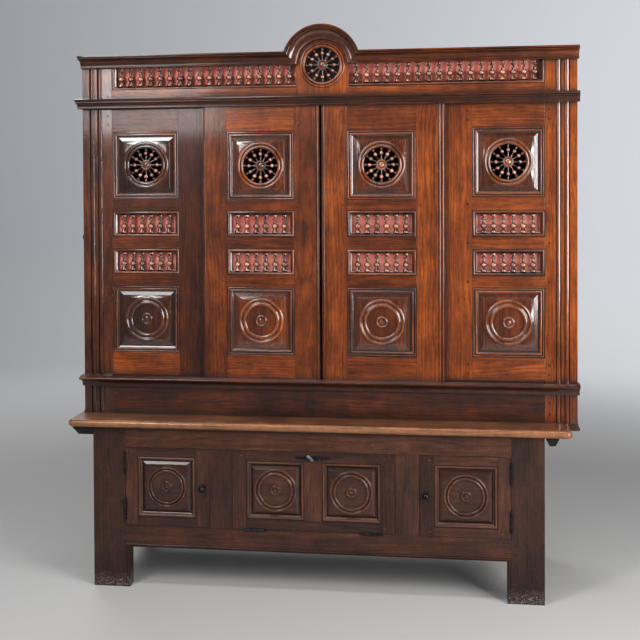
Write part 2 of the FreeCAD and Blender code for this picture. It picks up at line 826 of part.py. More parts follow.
def left_end(returns, z0, z1, x1):
    """Left end outline: (distance out from the post, height) pairs."""
    points = [(case_left - out, z) for out, z in returns]
    return points + [(x1, z1), (x1, z0)]


face = case_front
moulding_right = case_right + right_return

cornice_profile = [(face, cornice_bottom), (face - 12.0, cornice_bottom),
                   (face - 15.0, cornice_bottom + 3.0, face - 12.0, cornice_bottom + 6.0),
                   (face - 12.0, cornice_bottom + 7.5),
                   (face - 16.0, cornice_bottom + 22.0,
                    face - 30.0, cornice_bottom + 32.0),
                   (face - 33.0, cornice_bottom + 32.0),
                   (face - 36.5, cornice_bottom + 35.0,
                    face - 34.0, cornice_bottom + 38.0),
                   (face - cornice_projection, cornice_bottom + 38.0),
                   (face - cornice_projection, cornice_top), (face, cornice_top)]
cornice_end = left_end([(0.0, cornice_bottom), (cornice_return * 0.4, cornice_bottom + 9),
                        (cornice_return * 0.6, cornice_bottom + 24),
                        (cornice_return, cornice_bottom + 31),
                        (cornice_return, cornice_top)],
                       cornice_bottom, cornice_top, moulding_right)
cornice_run = front_moulding(cornice_profile, cornice_end, case_left - cut_reach,
                             case_right + right_return - 1.0)

# the same section bent round the crest: height above the cornice's foot
# becomes distance outwards
arch_inner = crest_radius - arch_width
arch_scale = arch_width / cornice_height


def arch_place(y, z):
    return vec(arch_inner + (z - cornice_bottom) * arch_scale, 0, face - y)


arch_face = outline(cornice_profile, arch_place)
arch_ring = arch_face.revolve(vec(0, 0, 0), vec(0, 0, 1), 360)
arch_ring.Placement = FreeCAD.Placement(vec(case_centre, face, crest_z),
                                        FreeCAD.Rotation(vec(0, 0, 1), vec(0, -1, 0)))
mitre_out = math.sqrt(crest_radius ** 2 - (cornice_top - crest_z) ** 2)
mitre_in = math.sqrt(arch_inner ** 2 - (cornice_bottom - crest_z) ** 2)
slope = (mitre_out - mitre_in) / (cornice_top - cornice_bottom)
far_up = cornice_top + crest_radius
far_out = mitre_out + slope * (far_up - cornice_top)
near_in = mitre_in
arch_keep = prism_y([(case_centre - near_in, cornice_bottom),
                     (case_centre - far_out, far_up), (case_centre + far_out, far_up),
                     (case_centre + near_in, cornice_bottom)], face - cut_reach, face + cut_reach)
crest_arch = arch_ring.common(arch_keep)
cornice = cornice_run.cut(arch_keep)

waist_profile = [(face, bay_top), (face - 32.0, bay_top), (face - 32.0, bay_top + 6.0),
                 (face - 29.5, bay_top + 7.5),
                 (face - 30.5, bay_top + 14.0, face - 35.0, bay_top + 19.5),
                 (face - 37.0, bay_top + 19.5),
                 (face - 40.0, bay_top + 23.0, face - 37.0, bay_top + 26.5),
                 (face - 37.0, bay_top + 28.0), (face - waist_projection, bay_top + 28.0),
                 (face - waist_projection, bay_top + 34.0), (face - 20.0, waist_top),
                 (face, waist_top)]
waist_end = left_end([(waist_return * 0.3, bay_top), (waist_return * 0.5, bay_top + 4.0),
                      (waist_return * 0.6, bay_top + 16.0),
                      (waist_return * 0.8, bay_top + 25.0), (waist_return, bay_top + 31.0),
                      (waist_return, bay_top + 35.0), (waist_return * 0.5, waist_top)],
                     bay_top, waist_top, moulding_right)
waist_moulding = front_moulding(waist_profile, waist_end, case_left - cut_reach, moulding_right)

sill_profile = [(face, sill_bottom), (face - 12.0, sill_bottom),
                (face - 12.0, sill_bottom + 8.0),
                (face - 20.0, sill_bottom + 22.0, face - 34.0, sill_bottom + 26.0),
                (face - sill_projection, sill_bottom + 31.0,
                 face - 35.0, sill_bottom + 36.0),
                (face - 26.0, bay_bottom - 3.0), (face, bay_bottom)]
sill_end = left_end([(0.0, sill_bottom), (sill_return * 0.5, sill_bottom + 3.0),
                     (sill_return * 0.7, sill_bottom + 22.0),
                     (sill_return, sill_bottom + 28.0), (sill_return, sill_bottom + 36.0),
                     (sill_return * 0.6, bay_bottom)],
                    sill_bottom, bay_bottom, moulding_right)
sill_moulding = front_moulding(sill_profile, sill_end, case_left - cut_reach, moulding_right)

# pegs that a moulding covers are cut flush with the face it is planted on
sill_pegs = [peg.cut(sill_moulding) for peg in sill_pegs]
waist_pegs = [peg.cut(waist_moulding) for peg in waist_pegs]
frieze_pegs = [peg.cut(cornice) for peg in frieze_pegs]

# grooves that guide the sliding doors, between the posts
track_front = door_front - track_clearance
head_track = box(bay_left, bay_right, track_front, case_front, bay_top - 1,
                 bay_top + head_groove_depth)
foot_track = box(bay_left, bay_right, track_front, case_front,
                 bay_bottom - sill_groove_depth, bay_bottom + 1)
waist_moulding = waist_moulding.cut(head_track)
sill_moulding = sill_moulding.cut(foot_track)

# post mortises and peg holes
post_tools = apron_tenons + sill_tenons + waist_tenons + frieze_tenons
post_tools += apron_pegs + sill_pegs + waist_pegs + frieze_pegs
for bay in fixed_bays:
    post_tools += bay["tenons"] + bay["pegs"] + bay["filling"]["grooves"]

# side boards, housed in the backs of the posts
side_boards = []
side_front = case_front + post_thickness - housing
for x0 in (case_left, case_right - side_board_thickness):
    side_boards.append(box(x0, x0 + side_board_thickness, side_front,
                           case_back - back_board_thickness, ledge_top,
                           case_top - top_board_thickness))
post_tools += side_boards
posts = [cut_all(post, post_tools) for post in posts]

case_floor = box(case_left, case_right, case_front, case_back, base_height, ledge_top)
case_roof = box(case_left, case_right, case_front + rail_thickness, case_back,
                case_top - top_board_thickness, case_top)
case_roof = cut_all(case_roof, posts)
shelf_front = case_front + fixed_thickness + shelf_gap
case_shelf = box(case_left + side_board_thickness - housing,
                 case_right - side_board_thickness + housing, shelf_front,
                 case_back - back_board_thickness, shelf_height,
                 shelf_height + shelf_thickness)
case_shelf = cut_all(case_shelf, posts)
side_boards = [board.cut(case_shelf) for board in side_boards]


def upright_boards(x0, x1, y0, y1, z0, z1, count):
    """Row of equal upright boards with a small gap between them."""
    pitch = (x1 - x0) / count
    half_gap = board_joint_gap / 2
    return [box(x0 + index * pitch + half_gap, x0 + (index + 1) * pitch - half_gap,
                y0, y1, z0, z1) for index in range(count)]


case_back_boards = upright_boards(case_left, case_right, case_back - back_board_thickness,
                                  case_back, ledge_top, case_top - top_board_thickness,
                                  back_board_count)


def side_moulding(edge, sign, flare):
    """Hollow moulding along the foot of one side, flared out by its size."""
    z0 = base_height
    z1 = base_height + side_moulding_height
    points = [(edge, z0), (edge + sign * flare * 0.8, z0), (edge + sign * flare, z0 + 5),
              (edge + sign * flare, z0 + 10),
              (edge + sign * flare * 0.35, z0 + 20, edge + sign * 1.0, z1), (edge, z1)]
    return prism_y(points, case_front, case_back)


side_mouldings = [side_moulding(case_left, -1, flare_left),
                  side_moulding(case_right, 1, flare_right)]


def side_eye():
    """Iron eye driven into the left post: a half ring and two prongs."""
    y = case_front + post_thickness / 2
    ring = Part.makeTorus(side_eye_radius, side_eye_wire, vec(case_left, y, side_eye_height),
                          vec(0, 1, 0))
    keep = box(case_left - cut_reach, case_left, y - cut_reach, y + cut_reach,
               side_eye_height - cut_reach, side_eye_height + cut_reach)
    eye = ring.common(keep)
    prongs = [cylinder(vec(case_left, y, side_eye_height + offset), vec(1, 0, 0),
                       side_eye_wire, side_eye_prong)
              for offset in (-side_eye_radius, side_eye_radius)]
    return eye.fuse(prongs[0]).fuse(prongs[1]), prongs


eye, eye_prongs = side_eye()
posts[0] = cut_all(posts[0], eye_prongs)

# ------------------------------------------------------------------ base

leg_back = base_front + leg_thickness
rear_leg_front = case_back - leg_thickness


def front_leg(x0, x1, edge, way):
    """Front leg; under the bottom rail its inner edge carries a beaded strip."""
    leg = box(x0, x1, base_front, leg_back, 0, base_height)
    strip_end = edge + way * foot_moulding_width
    centre = (edge + strip_end) / 2
    strip = beaded_board(min(edge, strip_end), max(edge, strip_end), base_front,
                         leg_back, 0, foot_height,
                         [(centre, foot_moulding_width * 0.32)])
    return leg.fuse(strip).removeSplitter()


front_legs = [front_leg(base_left, locker_inner_left, locker_inner_left, 1),
              front_leg(locker_inner_right, base_right, locker_inner_right, -1)]

bottom_bead_z = foot_height + foot_moulding_width / 2
bead = foot_moulding_width * 0.32
bottom_rail_profile = [
    (base_front, rail_top), (base_front, bottom_bead_z + bead),
    (base_front + bead * 0.65, bottom_bead_z + bead),
    (base_front, bottom_bead_z, base_front + bead * 0.65, bottom_bead_z - bead),
    (base_front, bottom_bead_z - bead), (base_front, foot_height),
    (base_front + rail_thickness, foot_height), (base_front + rail_thickness, rail_top)]
base_bottom_rail = prism_x(bottom_rail_profile, locker_inner_left, locker_inner_right)
bottom_tenons = [tenon(locker_inner_left - tenon_length, locker_inner_left, base_front,
                       rail_thickness, foot_height, rail_top),
                 tenon(locker_inner_right, locker_inner_right + tenon_length, base_front,
                       rail_thickness, foot_height, rail_top)]
bottom_pegs = pegs_for(locker_inner_left - peg_edge, foot_height, rail_top, base_front,
                       rail_thickness)
bottom_pegs += pegs_for(locker_inner_right + peg_edge, foot_height, rail_top, base_front,
                        rail_thickness)
for member in bottom_tenons:
    base_bottom_rail = base_bottom_rail.fuse(member)
base_bottom_rail = cut_all(base_bottom_rail, bottom_pegs)

base_top_rail, top_tenons, top_pegs = join_rail(
    locker_inner_left, locker_inner_right, locker_top, base_height, base_front,
    top_rail_thickness, tenon_length, tenon_length)

muntins = []
muntin_tenons = []
for x0 in (flap_left - muntin_width, flap_right):
    muntin = box(x0, x0 + muntin_width, base_front, base_front + rail_thickness, rail_top,
                 locker_top)
    middle = base_front + rail_thickness / 2
    stub = box(x0 + tenon_shoulder, x0 + muntin_width - tenon_shoulder,
               middle - tenon_thickness / 2, middle + tenon_thickness / 2,
               rail_top - housing * 2, locker_top + housing * 2)
    muntins.append(muntin.fuse(stub))
    muntin_tenons.append(stub)
base_bottom_rail = cut_all(base_bottom_rail, muntin_tenons)
base_top_rail = cut_all(base_top_rail, muntin_tenons)

# rear frame
rear_inner_left = base_left + rear_leg_width
rear_inner_right = base_right - rear_leg_width
rear_legs = [box(base_left, rear_inner_left, rear_leg_front, case_back, 0, base_height),
             box(rear_inner_right, base_right, rear_leg_front, case_back, 0, base_height)]
rear_rail_depth = leg_thickness - back_board_thickness
rear_rails = []
rear_tenons = []
for z0, z1 in ((foot_height, foot_height + rear_rail_height),
               (base_height - rear_rail_height, base_height)):
    tenons = [tenon(rear_inner_left - tenon_length, rear_inner_left, rear_leg_front,
                    rear_rail_depth, z0, z1),
              tenon(rear_inner_right, rear_inner_right + tenon_length, rear_leg_front,
                    rear_rail_depth, z0, z1)]
    rail = box(rear_inner_left, rear_inner_right, rear_leg_front,
               rear_leg_front + rear_rail_depth, z0, z1)
    rear_rails.append(rail.fuse(tenons).removeSplitter())
    rear_tenons += tenons
base_back_boards = upright_boards(rear_inner_left, rear_inner_right,
                                  case_back - back_board_thickness, case_back,
                                  foot_height, base_height, back_board_count)

# side boards, floor and partitions
base_side_boards = []
for x0 in (base_left + base_side_inset,
           base_right - base_side_inset - side_board_thickness):
    base_side_boards.append(box(x0, x0 + side_board_thickness, leg_back - housing,
                                rear_leg_front + housing, foot_height, base_height))
floor_top = rail_top - base_floor_drop
floor_left = base_left + base_side_inset + side_board_thickness
floor_right = base_right - base_side_inset - side_board_thickness
base_floor = box(floor_left - housing, floor_right + housing,
                 base_front + rail_thickness - housing, rear_leg_front + housing,
                 floor_top - base_floor_thickness, floor_top)
base_floor = cut_all(base_floor, bottom_pegs)
base_bottom_rail = base_bottom_rail.cut(base_floor)
rear_rails = [rail.cut(base_floor) for rail in rear_rails]
base_side_boards = [cut_all(board, [base_floor] + rear_tenons)
                    for board in base_side_boards]
leg_tools = bottom_tenons + top_tenons + bottom_pegs + top_pegs + base_side_boards
leg_tools.append(base_floor)
front_legs = [cut_all(leg, leg_tools) for leg in front_legs]
rear_legs = [cut_all(leg, rear_tenons + base_side_boards + [base_floor])
             for leg in rear_legs]

base_partitions = []
for x in (flap_left - muntin_width / 2, flap_right + muntin_width / 2):
    partition = box(x - partition_thickness / 2, x + partition_thickness / 2,
                    base_front + rail_thickness, rear_leg_front + rear_rail_depth,
                    floor_top, base_height)
    partition = cut_all(partition, [base_top_rail] + rear_rails)
    base_partitions.append(max(partition.Solids, key=lambda solid: solid.Volume))

# stop strips that the closed doors and the closed flap rest against
stop_front = locker_back + stop_gap
stop_runs = [(locker_inner_left, flap_left - muntin_width),
             (flap_left, flap_left + flap_stop_length),
             (flap_right - flap_stop_length, flap_right),
             (flap_right + muntin_width, locker_inner_right)]
door_stops = [box(x0, x1, stop_front, stop_front + stop_thickness,
                  locker_top - stop_height, locker_top) for x0, x1 in stop_runs]

# ledge: a rounded board and the two blocks under its ends
ledge_left = base_left - bench_overhang_left
ledge_right = base_right + bench_overhang_right
nose_radius = ledge_thickness / 2 - 1.0
ledge_corner = 18.0


def bench_board():
    """Ledge board, its front and ends rounded over."""
    board = box(ledge_left, ledge_right, nose_front, case_front, base_height, ledge_top)
    corners = [edge for edge in board.Edges
               if abs(edge.Length - ledge_thickness) < 0.01
               and edge.CenterOfMass.y < nose_front + 1]
    board = board.makeFillet(ledge_corner, corners)
    rounded = []
    for edge in board.Edges:
        middle = edge.CenterOfMass
        level = abs(middle.z - base_height) < 0.01 or abs(middle.z - ledge_top) < 0.01
        if level and middle.y < case_front - 0.01:
            rounded.append(edge)
    return board.makeFillet(nose_radius, rounded)


bench = bench_board()


def ledge_block(x0, x1, left_chamfer, right_chamfer):
    low = base_height - ledge_block_height
    slope_height = ledge_block_height * 0.8
    points = [(x0, base_height), (x0, low + (slope_height if left_chamfer else 0.0)),
              (x0 + left_chamfer, low), (x1 - right_chamfer, low),
              (x1, low + (slope_height if right_chamfer else 0.0)), (x1, base_height)]
    return prism_y(points, base_front, base_front + ledge_block_depth)


block_right = base_right + ledge_block_right_gap
ledge_blocks = [ledge_block(base_left - ledge_block_left, base_left,
                            ledge_block_left_chamfer, 0.0),
                ledge_block(block_right, block_right + ledge_block_right,
                            ledge_block_right_chamfer, ledge_block_right_chamfer)]

# --------------------------------------------------------- hinged doors

hinge_y = base_front - hinge_axis_forward


def hinge(centre, along, fixed_way, depth):
    """Butt hinge: its pin centre, pin direction, the way to the fixed side and
    the way into the wood.  Returns fixed parts, moving leaf and room cuts."""
    half = hinge_length / 2
    third = hinge_length / 3
    start = centre - along * half

    def plate(side, low, high):
        inner = hinge_leaf_gap / 2
        corners = []
        for a, b in ((inner, 0.0), (inner + hinge_leaf_thickness, 0.0),
                     (inner + hinge_leaf_thickness, hinge_leaf_width),
                     (inner, hinge_leaf_width)):
            corners.append(start + along * low + side * a + depth * b)
        face = Part.Face(Part.makePolygon(corners + corners[:1]))
        return face.extrude(along * (high - low))

    def knuckle(low, high):
        return cylinder(start + along * low, along, hinge_barrel_radius, high - low)

    pin = cylinder(start, along, hinge_pin_radius, hinge_length)
    bore = cylinder(start, along, hinge_pin_radius + hinge_pin_fit, hinge_length)
    room = cylinder(start - along * hinge_barrel_room, along,
                    hinge_barrel_radius + hinge_barrel_room,
                    hinge_length + 2 * hinge_barrel_room)
    gap = hinge_knuckle_gap
    moving_room = cylinder(start + along * (third - gap), along,
                           hinge_barrel_radius + hinge_barrel_room,
                           third + 2 * gap)
    fixed_rooms = [cylinder(start + along * low, along,
                            hinge_barrel_radius + hinge_barrel_room, third + gap)
                   for low in (-gap, 2 * third)]
    fixed_leaf = plate(fixed_way, 0.0, hinge_length).cut(moving_room)
    fixed_leaf = fixed_leaf.fuse(knuckle(0.0, third)).fuse(knuckle(2 * third, hinge_length))
    fixed_leaf = fixed_leaf.cut(pin)
    moving_leaf = cut_all(plate(fixed_way * -1.0, 0.0, hinge_length), fixed_rooms)
    moving_leaf = moving_leaf.fuse(knuckle(third + gap, 2 * third - gap)).cut(bore)
    fixed_seat = plate(fixed_way, -0.2, hinge_length + 0.2)
    moving_seat = plate(fixed_way * -1.0, -0.2, hinge_length + 0.2)
    return {"fixed": fixed_leaf, "pin": pin, "moving": moving_leaf,
            "fixed_cuts": [room, fixed_seat], "moving_cuts": [room, moving_seat]}


locker_low = rail_top + door_clearance
locker_high = locker_top - door_clearance
UP = vec(0, 0, 1)
RIGHT = vec(1, 0, 0)
INWARD = vec(0, 1, 0)


def locker_door(opening_left, opening_right, hinge_on_left, rings):
    """Hinged locker door with its panel, hinges and turning catch."""
    x0 = opening_left + door_clearance
    x1 = opening_right - door_clearance
    stile_widths = (locker_hinge_stile_width, locker_stile_width)
    if not hinge_on_left:
        stile_widths = stile_widths[::-1]
    inner_left = x0 + stile_widths[0]
    inner_right = x1 - stile_widths[1]
    low = locker_low + locker_rail_height
    high = locker_high - locker_rail_height
    panel, groove = ring_panel(inner_left, inner_right, low, high, base_front,
                               base_panel_edge, rings, base_boss_radius,
                               base_boss_bead)
    rails, tenons, pegs = bay_rail_set(inner_left, inner_right, base_front,
                                       locker_thickness, tenon_length, tenon_length,
                                       [(locker_low, low), (high, locker_high)])
    stiles = [box(x0, inner_left, base_front, locker_back, locker_low, locker_high),
              box(inner_right, x1, base_front, locker_back, locker_low, locker_high)]
    stiles = [cut_all(stile, tenons + pegs + [groove]) for stile in stiles]
    rails = [rail.cut(groove) for rail in rails]
    hinge_x = opening_left if hinge_on_left else opening_right
    to_leg = RIGHT * (-1.0 if hinge_on_left else 1.0)
    hinges = [hinge(vec(hinge_x, hinge_y, z), UP, to_leg, INWARD)
              for z in (locker_low + door_hinge_end, locker_high - door_hinge_end)]
    moving_cuts = [tool for item in hinges for tool in item["moving_cuts"]]
    knob_x = x1 - knob_edge if hinge_on_left else x0 + knob_edge
    knob_z = (locker_low + locker_high) / 2
    catch_y = base_front + rail_thickness + catch_gap
    axle = vec(knob_x, base_front - knob_neck, knob_z)
    bore = cylinder(axle, INWARD, spindle_radius + spindle_fit, knob_neck + 60)
    tip = catch_y + catch_thickness
    neck = cylinder(axle, INWARD, spindle_radius, tip - axle.y)
    ball = Part.makeSphere(knob_radius, vec(knob_x, base_front - knob_neck - 6.0, knob_z))
    collar = cylinder(vec(knob_x, base_front - 2.6, knob_z), INWARD, 8.0, 2.0)
    tongue = box(knob_x - catch_width / 2, knob_x + catch_width / 2, catch_y, tip,
                 knob_z - catch_reach, knob_z + catch_width / 2)
    tongue = tongue.cut(cylinder(vec(knob_x, catch_y - 1, knob_z), INWARD,
                                 spindle_radius, catch_thickness + 2))
    frame = [cut_all(member, moving_cuts + [bore]) for member in stiles + rails]
    moulding = frame_moulding(inner_left, inner_right, low, high, base_front, panel_depth,
                              base_moulding_width, single_bead)
    return {"frame": frame, "panel": [panel, moulding] + pegs, "hinges": hinges,
            "knob": [ball.fuse(neck).fuse(collar), tongue],
            "axis": vec(hinge_x, hinge_y, 0), "knob_axis": vec(knob_x, 0, knob_z)}


left_locker = locker_door(locker_inner_left, flap_left - muntin_width, True,
                          left_locker_rings)
right_locker = locker_door(flap_right + muntin_width, locker_inner_right, False,
                           right_locker_rings)

# fall flap, hinged along its bottom edge
flap_x0 = flap_left + door_clearance
flap_x1 = flap_right - door_clearance
flap_low = locker_low + flap_rail_height
flap_high = locker_high - flap_rail_height
flap_middle = (flap_x0 + flap_x1) / 2
flap_openings = [(flap_x0 + flap_stile_width, flap_middle - flap_muntin_width / 2),
                 (flap_middle + flap_muntin_width / 2, flap_x1 - flap_stile_width)]

flap_panels = []
flap_grooves = []
flap_mouldings = []
for x0, x1 in flap_openings:
    panel, groove = ring_panel(x0, x1, flap_low, flap_high, base_front,
                               base_panel_edge, flap_rings, base_boss_radius,
                               base_boss_bead)
    flap_panels.append(panel)
    flap_grooves.append(groove)
    flap_mouldings.append(frame_moulding(x0, x1, flap_low, flap_high, base_front,
                                         panel_depth, base_moulding_width, single_bead))
flap_rails, flap_tenons, flap_pegs = bay_rail_set(
    flap_openings[0][0], flap_openings[1][1], base_front, locker_thickness, tenon_length,
    tenon_length, [(locker_low, flap_low), (flap_high, locker_high)])
flap_stiles = [box(flap_x0, flap_openings[0][0], base_front, locker_back, locker_low,
                   locker_high),
               box(flap_openings[1][1], flap_x1, base_front, locker_back, locker_low,
                   locker_high)]
flap_muntin = box(flap_openings[0][1], flap_openings[1][0], base_front, locker_back,
                  flap_low, flap_high)
flap_hinges = [hinge(vec(flap_middle + offset, hinge_y, rail_top), RIGHT, UP * -1.0,
                     INWARD)
               for offset in (-flap_hinge_spacing / 2, flap_hinge_spacing / 2)]
flap_cuts = [tool for item in flap_hinges for tool in item["moving_cuts"]]

# lock on the back of the flap, bolt drawn back into it
lock_top = locker_high - 1.0
lock_case = box(flap_middle - lock_width / 2, flap_middle + lock_width / 2, locker_back,
                locker_back + lock_depth, lock_top - lock_height, lock_top)
bolt_y = locker_back + 4.0
bolt = box(flap_middle - bolt_width / 2, flap_middle + bolt_width / 2, bolt_y,
           bolt_y + bolt_thickness, lock_top - bolt_height, lock_top)


def bolt_room(low, high):
    """Room for the bolt, between two heights."""
    return box(flap_middle - bolt_width / 2 - bolt_fit, flap_middle + bolt_width / 2
               + bolt_fit, bolt_y - bolt_fit, bolt_y + bolt_thickness + bolt_fit, low, high)


lock_case = lock_case.cut(bolt_room(lock_top - bolt_height - bolt_fit, lock_top + 1))
base_top_rail = base_top_rail.cut(bolt_room(locker_top - 1, locker_top + bolt_throw + 1))

# escutcheon, keyhole and its swinging cover
plate_z = locker_high - flap_rail_height / 2 - 2.0
keyhole_x = flap_middle + 2.0
keyhole = cylinder(vec(keyhole_x, base_front - 20, plate_z), INWARD, keyhole_radius, 55)
wing = plate_length / 2
rise = plate_height / 2
escutcheon_outline = [
    (flap_middle - wing, plate_z + rise * 0.1),
    (flap_middle - wing * 0.82, plate_z + rise * 0.75,
     flap_middle - wing * 0.62, plate_z + rise * 0.25),
    (flap_middle - wing * 0.42, plate_z + rise * 0.85,
     flap_middle - wing * 0.2, plate_z + rise * 0.9),
    (flap_middle, plate_z + rise, flap_middle + wing * 0.2, plate_z + rise * 0.9),
    (flap_middle + wing * 0.42, plate_z + rise * 0.85,
     flap_middle + wing * 0.62, plate_z + rise * 0.25),
    (flap_middle + wing * 0.82, plate_z + rise * 0.75,
     flap_middle + wing, plate_z + rise * 0.1),
    (flap_middle + wing * 0.82, plate_z - rise * 0.6,
     flap_middle + wing * 0.6, plate_z - rise * 0.35),
    (flap_middle + wing * 0.35, plate_z - rise * 0.95,
     flap_middle, plate_z - rise),
    (flap_middle - wing * 0.35, plate_z - rise * 0.95,
     flap_middle - wing * 0.6, plate_z - rise * 0.35),
    (flap_middle - wing * 0.82, plate_z - rise * 0.6,
     flap_middle - wing, plate_z + rise * 0.1)]
escutcheon = prism_y(escutcheon_outline, base_front - plate_thickness, base_front)
cover_x = flap_middle - 9.0
pivot = cylinder(vec(cover_x, base_front - plate_thickness - cover_thickness - 2.0, plate_z),
                 INWARD, cover_pivot_radius, plate_thickness + cover_thickness + 2.0)
escutcheon = escutcheon.fuse(pivot).cut(keyhole)
cover = box(-cover_length / 2, cover_length / 2, 0, cover_thickness, -cover_width / 2,
            cover_width / 2)
cover_corners = [edge for edge in cover.Edges
                 if abs(edge.Length - cover_thickness) < 0.01]
cover = cover.makeFillet(cover_width * 0.45, cover_corners)
cover = cover.cut(cylinder(vec(0, -1, 0), INWARD, cover_pivot_radius + cover_fit,
                           cover_thickness + 2))
cover.Placement = FreeCAD.Placement(
    vec(cover_x, base_front - plate_thickness - cover_thickness - 0.4, plate_z),
    FreeCAD.Rotation(vec(0, 1, 0), cover_tilt))

flap_frame = [cut_all(member, flap_tenons + flap_pegs + flap_grooves)
              for member in flap_stiles]
flap_frame += [rail.cut(groove) for rail, groove in zip(flap_rails, flap_grooves)]
flap_frame = [cut_all(member, flap_grooves + flap_cuts + [keyhole])
              for member in flap_frame]
flap_frame.append(cut_all(flap_muntin, flap_grooves))

# the fixed halves of the hinges are let into the legs and the bottom rail
fixed_hinges = left_locker["hinges"] + right_locker["hinges"] + flap_hinges
fixed_cuts = [tool for item in fixed_hinges for tool in item["fixed_cuts"]]
front_legs = [cut_all(leg, fixed_cuts) for leg in front_legs]
base_bottom_rail = cut_all(base_bottom_rail, fixed_cuts)

# ----------------------------------------------------------------- nodes

save("front_legs", front_legs)
save("base_rear_frame", rear_legs + rear_rails)
save("base_top_rail", [base_top_rail])
save("base_bottom_rail", [base_bottom_rail])
save("base_muntins", muntins)
save("base_side_boards", base_side_boards)
save("base_back_boards", base_back_boards)
save("base_floor", [base_floor])
save("base_partitions", base_partitions + door_stops)
save("bench_board", [bench])
save("ledge_blocks", ledge_blocks)
save("hinge_fixed_leaves", [item[part] for item in fixed_hinges
                            for part in ("fixed", "pin")])
save("case_posts", posts)
save("case_side_boards", side_boards)
save("case_back_boards", case_back_boards)
save("case_floor", [case_floor])
save("case_roof", [case_roof])
save("case_shelf", [case_shelf])
save("case_lower_rails", [apron, sill_rail])
save("sill_moulding", [sill_moulding])
save("waist_moulding", [waist_moulding])
save("cornice", [cornice])
save("crest_arch", [crest_arch])
save("crest_board", [crest_board])
save("frieze_rails", [waist_rail] + frieze_top_rails)
save("side_base_mouldings", side_mouldings)
save("joint_pegs", apron_pegs + sill_pegs + waist_pegs + frieze_pegs + bottom_pegs
     + top_pegs + fixed_bays[0]["pegs"] + fixed_bays[1]["pegs"])
save("side_eye", [eye])
save("fixed_frames", fixed_stiles + fixed_bays[0]["rails"] + fixed_bays[1]["rails"])
save("fixed_mouldings", [item for bay in fixed_bays
                         for item in bay["filling"]["mouldings"]] + frieze_mouldings)
save("fixed_panels", [item for bay in fixed_bays for item in bay["filling"]["panels"]])
save("fixed_wheels", [item for bay in fixed_bays for item in bay["filling"]["wheel"]]
     + crest_wheel)
save("fixed_spindles", [item for bay in fixed_bays
                        for item in bay["filling"]["spindles"]] + frieze_spindles)
save("gallery_backings", [item for bay in fixed_bays
                          for item in bay["filling"]["backings"]] + frieze_backings)
for name, door in (("left_door", left_door), ("right_door", right_door)):
    filling = door["filling"]
    save(name + "_frame", door["frame"])
    save(name + "_mouldings", filling["mouldings"] + door["pegs"])
    save(name + "_panels", filling["panels"])
    save(name + "_wheel", filling["wheel"])
    save(name + "_spindles", filling["spindles"])
    save(name + "_backings", filling["backings"])
for name, door in (("left_locker", left_locker), ("right_locker", right_locker)):
    save(name + "_frame", door["frame"])
    save(name + "_panel", door["panel"])
    save(name + "_hinge_leaves", [item["moving"] for item in door["hinges"]])
    save(name + "_knob", door["knob"])
save("flap_frame", flap_frame)
save("flap_panels", flap_panels + flap_mouldings + flap_pegs)
save("flap_hinge_leaves", [item["moving"] for item in flap_hinges])
save("flap_lock", [lock_case, escutcheon])
save("flap_bolt", [bolt])
save("keyhole_cover", [cover])
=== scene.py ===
import json
import math
import random

import bmesh
import bpy
import numpy as np
from mathutils import Matrix, Vector, noise


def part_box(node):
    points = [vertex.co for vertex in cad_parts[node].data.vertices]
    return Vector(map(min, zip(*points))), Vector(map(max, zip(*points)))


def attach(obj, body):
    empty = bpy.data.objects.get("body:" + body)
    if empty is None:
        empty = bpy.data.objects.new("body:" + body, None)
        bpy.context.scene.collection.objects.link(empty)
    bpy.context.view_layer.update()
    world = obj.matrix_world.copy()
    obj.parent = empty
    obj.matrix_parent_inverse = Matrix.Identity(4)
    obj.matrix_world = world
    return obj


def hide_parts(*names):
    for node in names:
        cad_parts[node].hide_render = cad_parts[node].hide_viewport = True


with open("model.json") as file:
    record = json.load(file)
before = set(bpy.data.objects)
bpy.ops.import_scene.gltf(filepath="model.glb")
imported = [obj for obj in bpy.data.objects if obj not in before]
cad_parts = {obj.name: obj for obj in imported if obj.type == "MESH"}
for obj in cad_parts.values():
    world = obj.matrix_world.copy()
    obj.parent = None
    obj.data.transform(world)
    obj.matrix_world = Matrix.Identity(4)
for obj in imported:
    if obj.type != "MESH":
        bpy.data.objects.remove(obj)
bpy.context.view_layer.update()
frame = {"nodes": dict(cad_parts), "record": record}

BODY_OF = {node: body for body, nodes in frame["record"]["behaviour"]["bodies"].items()
           for node in nodes}

# ---------------------------------------------------------------- camera

CAMERA_PLACE = Vector((0.5069, -3.9040, 1.4076))
CAMERA_YAW = math.radians(7.65)
CAMERA_PITCH = math.radians(0.99)
CAMERA_ROLL = math.radians(-0.28)
CAMERA_LENS = 59.625            # mm
CAMERA_SENSOR = 36.0            # mm
CAMERA_RISE = -108.1 / 640      # of the frame's width
CAMERA_FAR = 60.0


def make_camera():
    """Camera at the photographed viewpoint, level but for a small roll."""
    ahead = Vector((-math.sin(CAMERA_YAW) * math.cos(CAMERA_PITCH),
                    math.cos(CAMERA_YAW) * math.cos(CAMERA_PITCH), -math.sin(CAMERA_PITCH)))
    level = Vector((math.cos(CAMERA_YAW), math.sin(CAMERA_YAW), 0.0))
    upright = level.cross(ahead)
    right = level * math.cos(CAMERA_ROLL) + upright * math.sin(CAMERA_ROLL)
    up = upright * math.cos(CAMERA_ROLL) - level * math.sin(CAMERA_ROLL)
    data = bpy.data.cameras.new("view")
    data.lens = CAMERA_LENS
    data.sensor_width = CAMERA_SENSOR
    data.shift_y = CAMERA_RISE
    data.clip_end = CAMERA_FAR
    camera = bpy.data.objects.new("view", data)
    turn = Matrix((right, up, -ahead)).transposed()
    camera.matrix_world = Matrix.Translation(CAMERA_PLACE) @ turn.to_4x4()
    bpy.context.scene.collection.objects.link(camera)
    bpy.context.scene.camera = camera


# ---------------------------------------------------------------- material graphs

